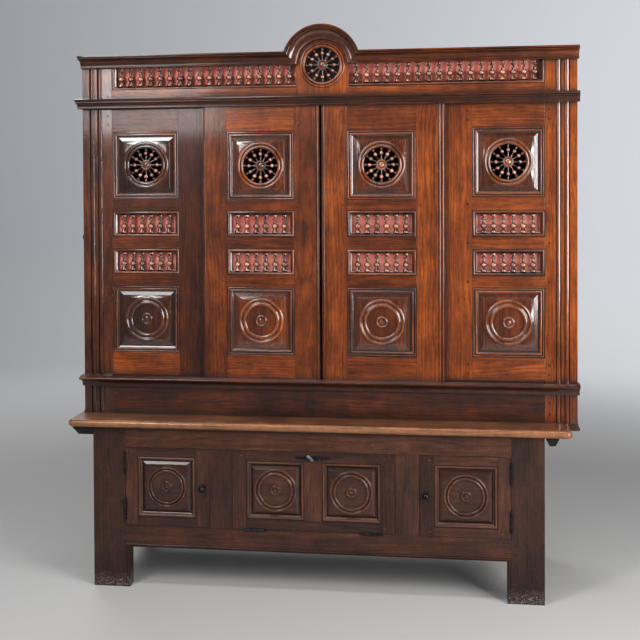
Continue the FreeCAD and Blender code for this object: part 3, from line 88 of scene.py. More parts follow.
def colour(red, green, blue):
    """A display colour of 0 to 255 as the linear colour that shaders use."""
    def linear(value):
        value /= 255.0
        return value / 12.92 if value <= 0.04045 else ((value + 0.055) / 1.055) ** 2.4
    return linear(red), linear(green), linear(blue), 1.0


SOCKETS = {"metallic": "Metallic", "coat": "Coat Weight", "coat_roughness": "Coat Roughness",
           "lacquer": "Coat IOR", "specular": "Specular IOR Level", "sheen": "Sheen Weight",
           "sheen_roughness": "Sheen Roughness", "glow_colour": "Emission Color",
           "glow": "Emission Strength"}


class Graph:
    """Short names for building one node material."""

    def __init__(self, name):
        self.material = bpy.data.materials.new(name)
        self.material.use_nodes = True
        self.tree = self.material.node_tree
        self.tree.nodes.clear()

    def add(self, kind, inputs=None, **settings):
        made = self.tree.nodes.new("ShaderNode" + kind)
        for key, value in settings.items():
            setattr(made, key, value)
        for key, value in (inputs or {}).items():
            socket = made.inputs[key]
            if isinstance(value, bpy.types.NodeSocket):
                self.tree.links.new(value, socket)
            else:
                socket.default_value = value
        return made

    def math(self, operation, first, second=0.0, clamp=False):
        return self.add("Math", {0: first, 1: second}, operation=operation,
                        use_clamp=clamp).outputs[0]

    def plus(self, first, second, clamp=False):
        return self.math("ADD", first, second, clamp)

    def minus(self, first, second, clamp=False):
        return self.math("SUBTRACT", first, second, clamp)

    def times(self, first, second):
        return self.math("MULTIPLY", first, second)

    def centred(self, value, share):
        """value less a half, times share, so that it adds as often as it takes away."""
        return self.times(self.minus(value, 0.5), share)

    def span(self, value, low, high, to_low=0.0, to_high=1.0, smooth=False):
        """value carried from one range to another, and held inside it."""
        return self.add("MapRange", {0: value, 1: low, 2: high, 3: to_low, 4: to_high},
                        interpolation_type="SMOOTHSTEP" if smooth else "LINEAR").outputs[0]

    def stretched(self, place, scale):
        return self.add("VectorMath", {0: place, 1: scale}, operation="MULTIPLY").outputs[0]

    def noise(self, place, scale, detail=2.0, roughness=0.5):
        """Noise of a place that is first stretched by scale, per metre."""
        return self.add("TexNoise", {"Vector": self.stretched(place, scale), "Scale": 1.0,
                                     "Detail": detail, "Roughness": roughness,
                                     "Distortion": 0.0}).outputs[0]

    def grained(self, place, counts, detail=2.0, roughness=0.5):
        """Noise with its two counts of changes per metre, along and across the grain."""
        along, across = counts
        return self.noise(place, (along, across, across), detail, roughness)

    def mix(self, share, first, second):
        return self.add("MixRGB", {0: share, 1: first, 2: second}, blend_type="MIX").outputs[0]

    def ramp(self, share, stops):
        made = self.add("ValToRGB", {0: share})
        band = made.color_ramp
        band.interpolation = "B_SPLINE" if len(stops) > 3 else "EASE"
        while len(band.elements) < len(stops):
            band.elements.new(0.5)
        for element, (place, shade) in zip(band.elements, stops):
            element.position = place
            element.color = shade
        return made.outputs[0]

    def finish(self, base, roughness, normal, **fixed):
        """Closes the graph with one Principled shader; fixed sets its other sockets."""
        inputs = {"Base Color": base, "Roughness": roughness, "Normal": normal}
        inputs.update({SOCKETS[key]: value for key, value in fixed.items()})
        if "coat" in fixed:
            inputs["Coat Normal"] = normal
        shader = self.add("BsdfPrincipled", inputs)
        self.add("OutputMaterial", {0: shader.outputs[0]})
        return self.material


# ---------------------------------------------------------------- wood

# changes per metre along and across the grain
SWAY, BANDS, STREAKS = (2.2, 9.0), (1.6, 34.0), (8.0, 160.0)
DASHES, PORES = (20.0, 300.0), (60.0, 1400.0)
BLOTCHES, SWELLS = (5.0, 11.0), (7.0, 20.0)
SWAY_REACH = 0.05                   # metres that the grain wanders aside
YEAR_RINGS, RING_WAVER = 640.0, 11.0
# changes per metre along x, y and z of the cupboard
MOTTLE, RUBBING = (26.0, 26.0, 17.0), (38.0, 38.0, 38.0)
SPECKS, CHALK = (330.0, 330.0, 330.0), (190.0, 190.0, 190.0)

# how much each pattern lightens the wood, over the least lightness, or darkens it
LEAST_LIGHT = 0.10
BAND_LIGHT, STREAK_LIGHT, RING_LIGHT = 0.13, 0.16, 0.12
BLOTCH_LIGHT, MOTTLE_LIGHT = 0.18, 0.09
DASH_DARK, PORE_DARK = 0.13, 0.10

WORN_WIDTH = 0.0018                 # metres beside an edge that show its wear
ROUNDED_EDGE = 0.0007               # radius that the light sees on every edge
# reaches of the painted shade in corners and beside beads
CORNER_REACH, QUIRK_REACH = 0.03, 0.008
# painted shade under the sill: the case darkens from the first height down to the second and
# stays darker below
LOW_CASE_TOP, LOW_CASE_BOTTOM, UNDER_SILL_SHADE = 0.77, 0.69, 0.14
FOOT_DIRT_TOP, FOOT_CHALK_TOP = 0.17, 0.055
RELIEF_DEPTH = 0.0011
OILED_SPECULAR, COAT_ROUGHNESS = 0.22, 0.09

DUST = colour(176, 160, 146)
# near black: the painted shade in corners, and the soiling at the feet
GRIME_AND_SHADE = colour(14, 8, 6)
JOINT_LINE = colour(18, 9, 6)


def edge_wear(graph, radius):
    """1 where a convex or concave edge is within the radius, and the rounded normal."""
    rounded = graph.add("Bevel", {"Radius": radius}, samples=6).outputs[0]
    plain = graph.add("NewGeometry").outputs["Normal"]
    same = graph.add("VectorMath", {0: rounded, 1: plain},
                     operation="DOT_PRODUCT").outputs["Value"]
    return graph.span(same, 0.995, 0.86), rounded


def openness(graph, reach):
    """1 on an open face, less and less towards a corner or under a bead."""
    return graph.add("AmbientOcclusion", {"Distance": reach}, samples=8).outputs["AO"]


def grain_figure(g, board, place, coarse):
    """The patterns of the grain and the lightness that they add up to."""
    sway = g.add("TexNoise", {"Vector": g.stretched(board, (SWAY[0], SWAY[1], SWAY[1])),
                              "Scale": 1.0, "Detail": 2.0}).outputs["Color"]
    sway = g.add("VectorMath", {0: sway, 1: (0.5, 0.5, 0.5)}, operation="SUBTRACT").outputs[0]
    sway = g.stretched(sway, (0.0, SWAY_REACH, SWAY_REACH))
    bent = g.add("VectorMath", {0: board, 1: sway}, operation="ADD").outputs[0]
    bands = g.grained(bent, [count * coarse for count in BANDS], 5.0, 0.66)
    streaks = g.grained(bent, STREAKS, 5.0, 0.70)
    dashes = g.span(g.grained(bent, DASHES, 2.0, 0.6), 0.53, 0.66)
    pores = g.span(g.grained(board, PORES, 1.0), 0.58, 0.68)
    blotch = g.grained(board, BLOTCHES, 4.0, 0.6)
    mottle = g.noise(place, MOTTLE, 4.0, 0.62)
    split = g.add("SeparateXYZ", {0: bent})
    squares = [g.math("POWER", split.outputs[axis], 2.0) for axis in (1, 2)]
    radius = g.math("SQRT", g.plus(*squares))
    turns = g.plus(g.times(radius, YEAR_RINGS * coarse), g.times(bands, RING_WAVER))
    rings = g.math("POWER", g.span(g.math("SINE", turns), -1.0, 1.0), 2.4)
    light = LEAST_LIGHT
    for pattern, share in ((g.span(bands, 0.30, 0.70), BAND_LIGHT),
                           (g.span(streaks, 0.32, 0.68), STREAK_LIGHT),
                           (g.minus(1.0, rings), RING_LIGHT),
                           (g.span(blotch, 0.28, 0.72), BLOTCH_LIGHT),
                           (g.span(mottle, 0.30, 0.70), MOTTLE_LIGHT)):
        light = g.plus(light, g.times(pattern, share))
    return streaks, dashes, pores, blotch, mottle, light


def corner_shade_and_dirt(g, blotch, mottle):
    """Darker corners: painted shade that also stands for old wax and soiling gathered there,
    and a painted shade line beside every bead.
    """
    opened = openness(g, CORNER_REACH)
    wax_and_shade = g.times(g.span(opened, 0.98, 0.55), g.span(mottle, 0.25, 0.7, 0.45, 0.75))
    dirt_and_shade = g.times(g.span(opened, 0.62, 0.22), g.span(blotch, 0.2, 0.7, 0.7, 1.0))
    bead_shade = g.times(g.span(openness(g, QUIRK_REACH), 0.92, 0.5), 0.85)
    return g.math("MAXIMUM", g.math("MAXIMUM", wax_and_shade, dirt_and_shade), bead_shade, clamp=True)


def foot_marks(g, base, specks, place, mottle, grime_and_shade):
    """Dirt that has crept up from the floor, and chalky scuffs at the very foot."""
    height = g.add("SeparateXYZ", {0: place}).outputs[2]
    ragged = g.plus(height, g.centred(mottle, 0.05))
    base = g.mix(g.span(ragged, FOOT_DIRT_TOP, 0.03, 0.0, 0.72), base, grime_and_shade)
    chalk = g.span(g.noise(place, CHALK, 4.0, 0.75), 0.50, 0.60)
    chalk = g.times(chalk, g.span(ragged, FOOT_CHALK_TOP, 0.01, 0.0, 0.5))
    return base, g.math("MAXIMUM", g.times(specks, 0.6), chalk)


def wood(name, browns, oranges, gloss, coat, worn, grime_and_shade, coarse=1.0, wear=0.6, relief=1.0,
         patchy=0.42, lacquer=1.5, foot=False):
    """Old oiled oak, with painted shade in its corners and under the sill. Each solid carries
    its own grain place in 'board', how light it is in 'tone', which also holds its painted
    highlights and painted shade, and how orange it is in 'warm'."""
    g = Graph(name)
    board = g.add("Attribute", attribute_name="board").outputs["Vector"]
    tone = g.add("Attribute", attribute_name="tone").outputs["Fac"]
    warm = g.add("Attribute", attribute_name="warm").outputs["Fac"]
    place = g.add("TexCoord").outputs["Object"]
    streaks, dashes, pores, blotch, mottle, light = grain_figure(g, board, place, coarse)
    light = g.plus(light, tone, clamp=True)
    light = g.minus(light, g.times(dashes, DASH_DARK))
    light = g.minus(light, g.times(pores, PORE_DARK), clamp=True)
    # painted shade under the sill, on all but the foot woods
    if not foot:
        low = g.span(g.add("SeparateXYZ", {0: place}).outputs[2], LOW_CASE_TOP, LOW_CASE_BOTTOM)
        light = g.minus(light, g.times(low, UNDER_SILL_SHADE), clamp=True)
    heat = g.plus(warm, g.centred(blotch, 1.1))
    heat = g.plus(heat, g.centred(mottle, 0.7), clamp=True)
    base = g.mix(heat, g.ramp(light, browns), g.ramp(light, oranges))

    edges = edge_wear(g, WORN_WIDTH)[0]
    rubbed = g.span(g.noise(place, RUBBING, 5.0, 0.7), patchy, patchy + 0.2)
    base = g.mix(g.times(g.times(edges, rubbed), wear), base, worn)
    # painted shade in corners and beside beads, partly standing for old wax and soiling
    dirt_and_shade = corner_shade_and_dirt(g, blotch, mottle)
    base = g.mix(dirt_and_shade, base, grime_and_shade)
    specks = g.span(g.noise(place, SPECKS, 2.0, 0.7), 0.70, 0.76)
    if foot:
        base, specks = foot_marks(g, base, specks, place, mottle, grime_and_shade)
    else:
        specks = g.times(specks, 0.35)
    base = g.mix(specks, base, DUST)

    rough = g.plus(gloss, g.centred(blotch, 0.24))
    rough = g.plus(rough, g.centred(streaks, 0.20))
    rough = g.plus(rough, g.times(dirt_and_shade, 0.20))
    rough = g.plus(rough, g.times(specks, 0.4), clamp=True)

    height = g.minus(g.times(streaks, 0.34), g.times(dashes, 0.14))
    height = g.minus(height, g.times(pores, 0.10))
    height = g.plus(height, g.times(g.grained(board, SWELLS), 0.9))
    rounded = g.add("Bevel", {"Radius": ROUNDED_EDGE}, samples=4).outputs[0]
    bump = g.add("Bump", {"Strength": 0.55, "Distance": RELIEF_DEPTH * relief,
                          "Height": height, "Normal": rounded}).outputs[0]
    return g.finish(base, rough, bump, coat=coat, coat_roughness=COAT_ROUGHNESS,
                    lacquer=lacquer, specular=OILED_SPECULAR)


# ---------------------------------------------------------------- cloth, iron and the studio

WARP, WEFT = 260.0, 240.0           # threads of the lining, per metre
FADING = (9.0, 9.0, 14.0)
SHADE_REACH = 0.012


def lining(name, light, dark, shade):
    """Matt woven cloth behind the galleries, faded in patches, with painted shade where other
    parts come near it.
    """
    g = Graph(name)
    place = g.add("TexCoord").outputs["Object"]
    warp = g.add("TexWave", {"Vector": place, "Scale": WARP, "Distortion": 0.6},
                 bands_direction="X").outputs["Fac"]
    weft = g.add("TexWave", {"Vector": place, "Scale": WEFT, "Distortion": 0.6},
                 bands_direction="Z").outputs["Fac"]
    weave = g.times(warp, weft)
    fade = g.noise(place, FADING, 4.0, 0.6)
    share = g.plus(g.times(weave, 0.25), g.span(fade, 0.3, 0.7), clamp=True)
    base = g.mix(share, dark, light)
    # painted shade near the spindles and the gallery's edges
    base = g.mix(g.span(openness(g, SHADE_REACH), 0.6, 0.2, 0.0, 0.5), base, shade)
    bump = g.add("Bump", {"Strength": 0.4, "Distance": 0.0005, "Height": weave}).outputs[0]
    return g.finish(base, g.span(fade, 0.2, 0.8, 0.8, 0.95), bump, sheen=0.25,
                    sheen_roughness=0.5)


IRON_GRAIN, RUST_PATCHES = (180.0, 180.0, 180.0), (45.0, 45.0, 45.0)
IRON_WORN_WIDTH = 0.0008


def iron(name, dark, light, rust, metallic, rough_low, rough_high):
    """Forged iron: dark scale, rubbed bright edges and a little rust."""
    g = Graph(name)
    place = g.add("TexCoord").outputs["Object"]
    grain = g.noise(place, IRON_GRAIN, 5.0, 0.65)
    patches = g.noise(place, RUST_PATCHES, 3.0, 0.6)
    edges, rounded = edge_wear(g, IRON_WORN_WIDTH)
    base = g.mix(g.span(grain, 0.35, 0.7), dark, light)
    base = g.mix(g.times(g.span(patches, 0.55, 0.75), 0.5), base, rust)
    base = g.mix(g.times(edges, g.span(grain, 0.3, 0.6, 0.2, 0.8)), base, light)
    rough = g.span(grain, 0.3, 0.7, rough_low, rough_high)
    height = g.plus(grain, g.times(patches, 1.6))
    bump = g.add("Bump", {"Strength": 0.5, "Distance": 0.0006, "Height": height,
                          "Normal": rounded}).outputs[0]
    return g.finish(base, rough, bump, metallic=metallic)


# the stage: metres round the object, and how strongly its far parts glow to the eye
STAGE_RADIUS, STAGE_BEND, STAGE_HEIGHT = 5.2, 0.7, 5.4
GLOW_LEFT, GLOW_RIGHT, GLOW_BEHIND = 0.15, 0.62, 0.08
GLOW_STARTS = 1.8
STAGE_CLOUDS, STAGE_GRIT = (0.8, 0.8, 0.8), (90.0, 90.0, 90.0)


def studio(name, light, dark, ground):
    """Plain pale floor and backdrop with the faintest mottling. Far from the object it shows
    a pale glow that lights nothing: brighter to the right, dim behind the camera."""
    g = Graph(name)
    place = g.add("TexCoord").outputs["Object"]
    cloud = g.noise(place, STAGE_CLOUDS, 4.0, 0.55)
    fine = g.noise(place, STAGE_GRIT)
    share = g.plus(g.times(cloud, 0.8), g.times(fine, 0.2))
    split = g.add("SeparateXYZ", {0: place})
    base = g.mix(g.span(split.outputs[2], 0.0, 0.9), ground, g.mix(share, dark, light))
    bump = g.add("Bump", {"Strength": 0.1, "Distance": 0.0005, "Height": fine}).outputs[0]
    flat = g.add("CombineXYZ", {0: split.outputs[0], 1: split.outputs[1]}).outputs[0]
    reach = g.add("VectorMath", {0: flat}, operation="LENGTH").outputs["Value"]
    glow = g.span(split.outputs[0], -4.0, 4.0, GLOW_LEFT, GLOW_RIGHT)
    glow = g.times(glow, g.span(split.outputs[1], -3.0, 1.5, GLOW_BEHIND, 1.0, True))
    glow = g.times(glow, g.span(reach, GLOW_STARTS, STAGE_RADIUS, 0.0, 1.0, True))
    path = g.add("LightPath")
    seen = g.math("MAXIMUM", path.outputs["Is Camera Ray"], path.outputs["Is Glossy Ray"])
    seen = g.math("MAXIMUM", seen, path.outputs["Is Transmission Ray"])
    return g.finish(base, g.span(fine, 0.2, 0.8, 0.62, 0.78), bump,
                    glow_colour=colour(246, 249, 255), glow=g.times(glow, seen))


# ---------------------------------------------------------------- the colours of this cupboard

# ramps from the darkest wood to the lightest: place on the ramp and colour
CASE_BROWNS = [(0.05, colour(20, 8, 4)), (0.35, colour(46, 21, 10)),
               (0.62, colour(80, 39, 18)), (0.95, colour(126, 69, 36))]
CASE_ORANGES = [(0.05, colour(34, 12, 3)), (0.35, colour(88, 36, 7)),
                (0.62, colour(142, 65, 14)), (0.95, colour(208, 113, 34))]
BASE_BROWNS = [(0.05, colour(20, 12, 9)), (0.35, colour(42, 25, 18)),
               (0.62, colour(66, 41, 30)), (0.95, colour(98, 65, 48))]
BASE_ORANGES = [(0.05, colour(30, 13, 8)), (0.35, colour(64, 32, 20)),
                (0.62, colour(96, 53, 33)), (0.95, colour(136, 84, 54))]
PLAIN_BROWNS = [(0.05, colour(30, 20, 15)), (0.35, colour(60, 42, 31)),
                (0.62, colour(86, 61, 45)), (0.95, colour(116, 87, 65))]
# the turned wood's lightest stop is a painted highlight colour, reached on the painted-light
# fronts of balls and spokes
TURNED_RAMP_TO_HIGHLIGHT = [(0.05, colour(24, 10, 6)), (0.35, colour(66, 29, 17)),
                 (0.62, colour(130, 66, 40)), (0.95, colour(234, 158, 116))]
LEDGE_ORANGES = [(0.05, colour(34, 15, 8)), (0.35, colour(74, 38, 22)),
                 (0.62, colour(122, 72, 42)), (0.95, colour(188, 128, 82))]

MATERIALS = {
    "case_oak": wood("case_oak", CASE_BROWNS, CASE_ORANGES, 0.44, 0.8,
                     JOINT_LINE, GRIME_AND_SHADE, wear=0.75, relief=0.45, patchy=0.2),
    "moulding_oak": wood("moulding_oak", CASE_BROWNS, CASE_ORANGES, 0.30, 1.0,
                         colour(150, 96, 66), GRIME_AND_SHADE, wear=0.4, relief=0.25,
                         lacquer=1.68),
    "dark_moulding": wood("dark_moulding", CASE_BROWNS, CASE_ORANGES, 0.38, 0.5,
                          colour(134, 84, 56), GRIME_AND_SHADE, wear=0.5, relief=0.3),
    "base_oak": wood("base_oak", BASE_BROWNS, BASE_ORANGES, 0.46, 0.25,
                     JOINT_LINE, GRIME_AND_SHADE, wear=0.85, relief=0.7, patchy=0.2, foot=True),
    "ledge_oak": wood("ledge_oak", BASE_BROWNS, LEDGE_ORANGES, 0.40, 0.5,
                      colour(176, 124, 86), GRIME_AND_SHADE, wear=0.7, relief=0.6),
    "base_gloss": wood("base_gloss", BASE_BROWNS, BASE_ORANGES, 0.38, 0.5,
                       colour(130, 86, 60), GRIME_AND_SHADE, wear=0.4, relief=0.3),
    "plain_oak": wood("plain_oak", PLAIN_BROWNS, BASE_ORANGES, 0.68, 0.0,
                      colour(120, 90, 66), GRIME_AND_SHADE, wear=0.4),
    "turned_wood": wood("turned_wood", CASE_BROWNS, TURNED_RAMP_TO_HIGHLIGHT, 0.30, 1.0,
                        colour(216, 148, 110), GRIME_AND_SHADE, coarse=2.0, wear=0.7, relief=0.4,
                        lacquer=1.68),
    "rose_lining": lining("rose_lining", colour(255, 160, 138), colour(236, 108, 94),
                          colour(90, 20, 22)),
    "black_iron": iron("black_iron", colour(14, 14, 15), colour(58, 58, 60),
                       colour(46, 32, 26), 0.8, 0.20, 0.42),
    "worn_steel": iron("worn_steel", colour(120, 120, 122), colour(216, 216, 218),
                       colour(96, 78, 64), 0.9, 0.2, 0.4),
}


# ---------------------------------------------------------------- solids of a node

def solids_of(node):
    """The closed solids of a CAD node, each as its corner places and its triangles. They
    follow each other in the mesh, and one ends where no edge is left open."""
    mesh = frame["nodes"][node].data
    places = np.empty(len(mesh.vertices) * 3, np.float32)
    mesh.vertices.foreach_get("co", places)
    places = places.reshape(-1, 3)
    corners = np.empty(len(mesh.loops), np.int32)
    mesh.loops.foreach_get("vertex_index", corners)
    keys = np.round(places.astype(np.float64) * 1e6).astype(np.int64)
    _, first, same = np.unique(keys, axis=0, return_index=True, return_inverse=True)
    triangles = same.reshape(-1)[corners].reshape(-1, 3)
    found, unmatched, start = [], set(), 0
    for index, (a, b, c) in enumerate(triangles.tolist()):
        for p, q in ((a, b), (b, c), (c, a)):
            if p != q:
                unmatched ^= {(p, q) if p < q else (q, p)}
        if not unmatched or index == len(triangles) - 1:
            part = triangles[start:index + 1]
            start = index + 1
            a, b, c = part.T
            part = part[(a != b) & (b != c) & (c != a)]
            if len(part) >= 4:
                used, local = np.unique(part, return_inverse=True)
                found.append((places[first[used]], local.reshape(-1, 3)))
    return found


def solid_bmesh(places, triangles):
    """A solid as a bmesh whose flat faces are whole again."""
    made = bmesh.new()
    corners = [made.verts.new(p) for p in places.tolist()]
    for face in triangles.tolist():
        try:
            made.faces.new([corners[i] for i in face])
        except ValueError:      # the same three corners twice
            pass
    bmesh.ops.dissolve_limit(made, angle_limit=math.radians(0.3), verts=made.verts[:],
                             edges=made.edges[:])
    return made


def soften(made, width, least=math.radians(40)):
    """Rounds the sharp convex edges of a solid with few faces."""
    sharp = [e for e in made.edges if e.is_manifold and e.is_convex
             and e.calc_face_angle(0.0) > least and e.calc_length() > width * 3]
    bmesh.ops.bevel(made, geom=sharp, offset=width, offset_type="OFFSET", segments=2,
                    profile=0.6, affect="EDGES", clamp_overlap=True, loop_slide=True)


def creases(made, broad=0.005, least=math.radians(5)):
    """Edges of the broad flat faces, as pairs of corners: the shading breaks there."""
    made.normal_update()
    made.faces.index_update()
    breadth = []
    for face in made.faces:
        corners = [v.co for v in face.verts]
        reach = max(max(c[i] for c in corners) - min(c[i] for c in corners) for i in range(3))
        breadth.append(face.calc_area() / max(reach, 1e-9))
    found = []
    for edge in made.edges:
        if len(edge.link_faces) == 2 and edge.calc_face_angle(0.0) > least:
            if max(breadth[face.index] for face in edge.link_faces) > broad:
                found.append((edge.verts[0].index, edge.verts[1].index))
    return found


def slice_along(made, axis, step):
    """Cuts a long member into short lengths, so that its line can wander."""
    normal = Vector([1.0 if i == axis else 0.0 for i in range(3)])
    values = [v.co[axis] for v in made.verts]
    low, high = min(values), max(values)
    count = int((high - low) / step)
    for k in range(1, count + 1):
        place = normal * (low + (high - low) * k / (count + 1))
        bmesh.ops.bisect_plane(made, geom=made.verts[:] + made.edges[:] + made.faces[:],
                               dist=1e-6, plane_co=place, plane_no=normal)


# ---------------------------------------------------------------- how each node is finished

class Finish:
    """How the solids of a node are finished.

    grain   "long" runs along the longest side, x, y or z along that axis, "turned" along
            the solid's own axis and "frame" round a mitred frame
    tone    lighter or darker than the material's middle, give or take spread
    warm    0 brown to 1 orange
    bevel   metres that sharp edges are rounded by
    wander  metres that the front of a long moulding wavers by
    crest   metres below its front that a raised form is painted lighter: a painted highlight
    """

    def __init__(self, material, grain="long", tone=0.0, warm=0.5, spread=0.08, bevel=0.0,
                 wander=0.0, crest=0.0):
        self.material = material
        self.grain = grain
        self.tone = tone
        self.warm = warm
        self.spread = spread
        self.bevel = bevel
        self.wander = wander
        self.crest = crest


FINISHES = {
    "front_legs": Finish("base_oak", "z", -0.02, 0.35, bevel=0.0015),
    "base_top_rail": Finish("base_oak", "x", 0.02, 0.45, bevel=0.001),
    "base_bottom_rail": Finish("base_oak", "x", 0.0, 0.5, bevel=0.001),
    "base_muntins": Finish("base_oak", "z", -0.02, 0.3, bevel=0.0008),
    "bench_board": Finish("ledge_oak", "x", 0.30, 0.75, bevel=0.0015, wander=0.0012,
                          crest=0.014),
    "ledge_blocks": Finish("base_oak", "y", -0.55, 0.0, bevel=0.002),
    "left_locker_frame": Finish("base_oak", "long", -0.03, 0.35, bevel=0.0008),
    "right_locker_frame": Finish("base_oak", "long", -0.03, 0.4, bevel=0.0008),
    "flap_frame": Finish("base_oak", "long", -0.06, 0.3, bevel=0.0008),
    "left_locker_panel": Finish("base_gloss", "frame", 0.10, 0.65, crest=0.0028),
    "right_locker_panel": Finish("base_gloss", "frame", 0.12, 0.7, crest=0.0028),
    "flap_panels": Finish("base_gloss", "frame", 0.10, 0.65, crest=0.0028),
    "case_posts": Finish("moulding_oak", "z", 0.0, 0.5),
    "case_lower_rails": Finish("case_oak", "x", -0.09, 0.4, bevel=0.0008),
    "sill_moulding": Finish("dark_moulding", "x", -0.06, 0.4, bevel=0.0008),
    "waist_moulding": Finish("dark_moulding", "x", -0.16, 0.25, bevel=0.0008),
    "cornice": Finish("dark_moulding", "x", -0.06, 0.4, bevel=0.0008, wander=0.0008),
    "crest_arch": Finish("moulding_oak", "x", -0.02, 0.4),
    "crest_board": Finish("case_oak", "z", 0.06, 0.8),
    "frieze_rails": Finish("case_oak", "x", 0.04, 0.6, bevel=0.0008),
    "side_base_mouldings": Finish("moulding_oak", "y", -0.25, 0.1, bevel=0.001),
    "joint_pegs": Finish("case_oak", "y", -0.12, 0.35),
    "fixed_frames": Finish("case_oak", "long", -0.02, 0.6, bevel=0.0007),
    "fixed_mouldings": Finish("moulding_oak", "frame", -0.08, 0.35, crest=0.002),
    "fixed_panels": Finish("moulding_oak", "z", -0.06, 0.55, crest=0.0028),
    "fixed_wheels": Finish("turned_wood", "turned", 0.04, 0.75, spread=0.14),
    "fixed_spindles": Finish("turned_wood", "turned", 0.04, 0.75, spread=0.14),
}
for side in ("left", "right"):
    FINISHES[side + "_door_frame"] = Finish("case_oak", "long", -0.03, 0.7, bevel=0.0007)
    FINISHES[side + "_door_mouldings"] = Finish("moulding_oak", "frame", -0.08, 0.35,
                                                crest=0.002)
    FINISHES[side + "_door_panels"] = Finish("moulding_oak", "z", -0.06, 0.6, crest=0.0028)
    FINISHES[side + "_door_wheel"] = Finish("turned_wood", "turned", 0.06, 0.8, spread=0.14)
    FINISHES[side + "_door_spindles"] = Finish("turned_wood", "turned", 0.06, 0.8,
                                               spread=0.14)
for node in ("base_rear_frame", "base_side_boards", "base_back_boards", "base_floor",
             "base_partitions", "case_side_boards", "case_back_boards", "case_floor",
             "case_roof", "case_shelf"):
    FINISHES[node] = Finish("plain_oak", "long", -0.05, 0.3, bevel=0.0015)

# boards whose colour stands out: node, lowest and highest x, lowest and highest z of the
# solid's middle, change of tone, warmth. The first line that fits counts.
STANDING_OUT = [
    ("fixed_frames", -0.60, -0.40, 0.70, 1.80, -0.14, 0.45),    # stile beside the left bay
    ("fixed_frames", -0.80, -0.50, 1.66, 1.75, 0.04, 0.30),     # the left bay's top rail
    ("fixed_frames", -0.80, -0.50, 0.70, 0.84, 0.06, 0.90),     # its bottom rail
    ("fixed_frames", -0.80, -0.50, 0.84, 1.66, -0.06, 0.45),    # its middle rails
    ("fixed_panels", -0.80, -0.50, 0.70, 1.80, -0.10, 0.25),
    ("left_door_frame", -0.40, -0.05, 1.62, 1.80, 0.06, 0.90),  # bright top rail
    ("left_door_frame", -0.45, -0.34, 0.70, 1.80, -0.02, 0.65),
    ("left_door_frame", -0.40, -0.05, 0.70, 0.84, -0.02, 0.80),
    ("right_door_frame", 0.36, 0.46, 0.70, 1.80, 0.08, 0.90),
    ("right_door_frame", 0.05, 0.36, 0.70, 0.84, -0.06, 0.70),
    ("fixed_frames", 0.54, 0.80, 0.70, 0.84, -0.02, 0.85),      # the right bay's bottom rail
    ("fixed_frames", 0.42, 0.54, 0.70, 1.80, 0.07, 0.85),       # stile beside the right bay
    ("fixed_frames", 0.54, 0.80, 0.84, 1.80, 0.05, 0.80),       # its other rails
]
# the right post's lighter tone is painted light, as if lit more strongly from the right side
LEFT_POST, RIGHT_POST = (-0.06, 0.35), (0.16, 0.85)     # change of tone, warmth

# the balls of the real spindles are a little fatter than the CAD's
SPINDLE_BREADTH = 1.18
# behind these places in y the mouldings stay true
WANDER_FRONT = {"bench_board": -0.20, "cornice": -0.1395}
WANDER_STEP = 0.03

# the blind opening behind the crest wheel: its middle in x and z, and its radius
CREST_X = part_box("crest_arch")[0][0] / 2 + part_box("crest_arch")[1][0] / 2
CREST_Z, CREST_RADIUS = 1.868, 0.0622
# the floor of the blind opening is painted black: a painted shadow that stands for an open hole
OPENING_SHADE_TONE = -1.0

# order of the coordinates that brings the one along the grain to the front
GRAIN_ORDERS = {0: (0, 2, 1), 1: (1, 0, 2), 2: (2, 0, 1)}
MANY_TRIANGLES = 1600       # a solid with more of them keeps its own edges
FRAME_TRIANGLES = 700       # a mitred frame has fewer, a panel with rings has more
FRAME_SIZE = 0.05           # metres; what is smaller has no members of its own


def board_tone(node, finish, middle, draw):
    """Lightness and warmth of one solid."""
    tone = finish.tone + draw.uniform(-finish.spread, finish.spread)
    warm = finish.warm + draw.uniform(-0.15, 0.15)
    for name, x0, x1, z0, z1, change, warmth in STANDING_OUT:
        if name == node and x0 < middle.x < x1 and z0 < middle.z < z1:
            return tone + change, warmth
    if node == "case_posts":
        change, warmth = LEFT_POST if middle.x < 0 else RIGHT_POST
        return tone + change, warmth
    return tone, warm


def grain_axis(rule, size):
    """Which coordinate runs along the grain of a solid that isn't turned."""
    return "xyz".index(rule) if rule in "xyz" else int(np.argmax(size))


def turned_axes(places):
    """The axes of a turned solid, the longest first."""
    centred = places - places.mean(axis=0)
    every = max(1, len(centred) // 400)
    return np.linalg.svd(centred[::every], full_matrices=False)[2]


def member_axis(place, size):
    """Which way the grain runs at a place in a mitred frame: along the nearer member."""
    return 0 if abs(place[2]) / size[2] > abs(place[0]) / size[0] else 2


def wander(made, finish, front):
    """Lets the front of a long moulding waver a little, as worn hand work does."""
    for vert in made.verts:
        if vert.co.y < front:
            depth = min(1.0, (front - vert.co.y) / 0.02)
            here = noise.noise(Vector((vert.co.x * 5.0, vert.co.z * 9.0, 3.0)))
            fine = noise.noise(Vector((vert.co.x * 30.0, vert.co.z * 40.0, 8.0)))
            vert.co.y += depth * finish.wander * (1.0 + 0.75 * here + 0.25 * fine)


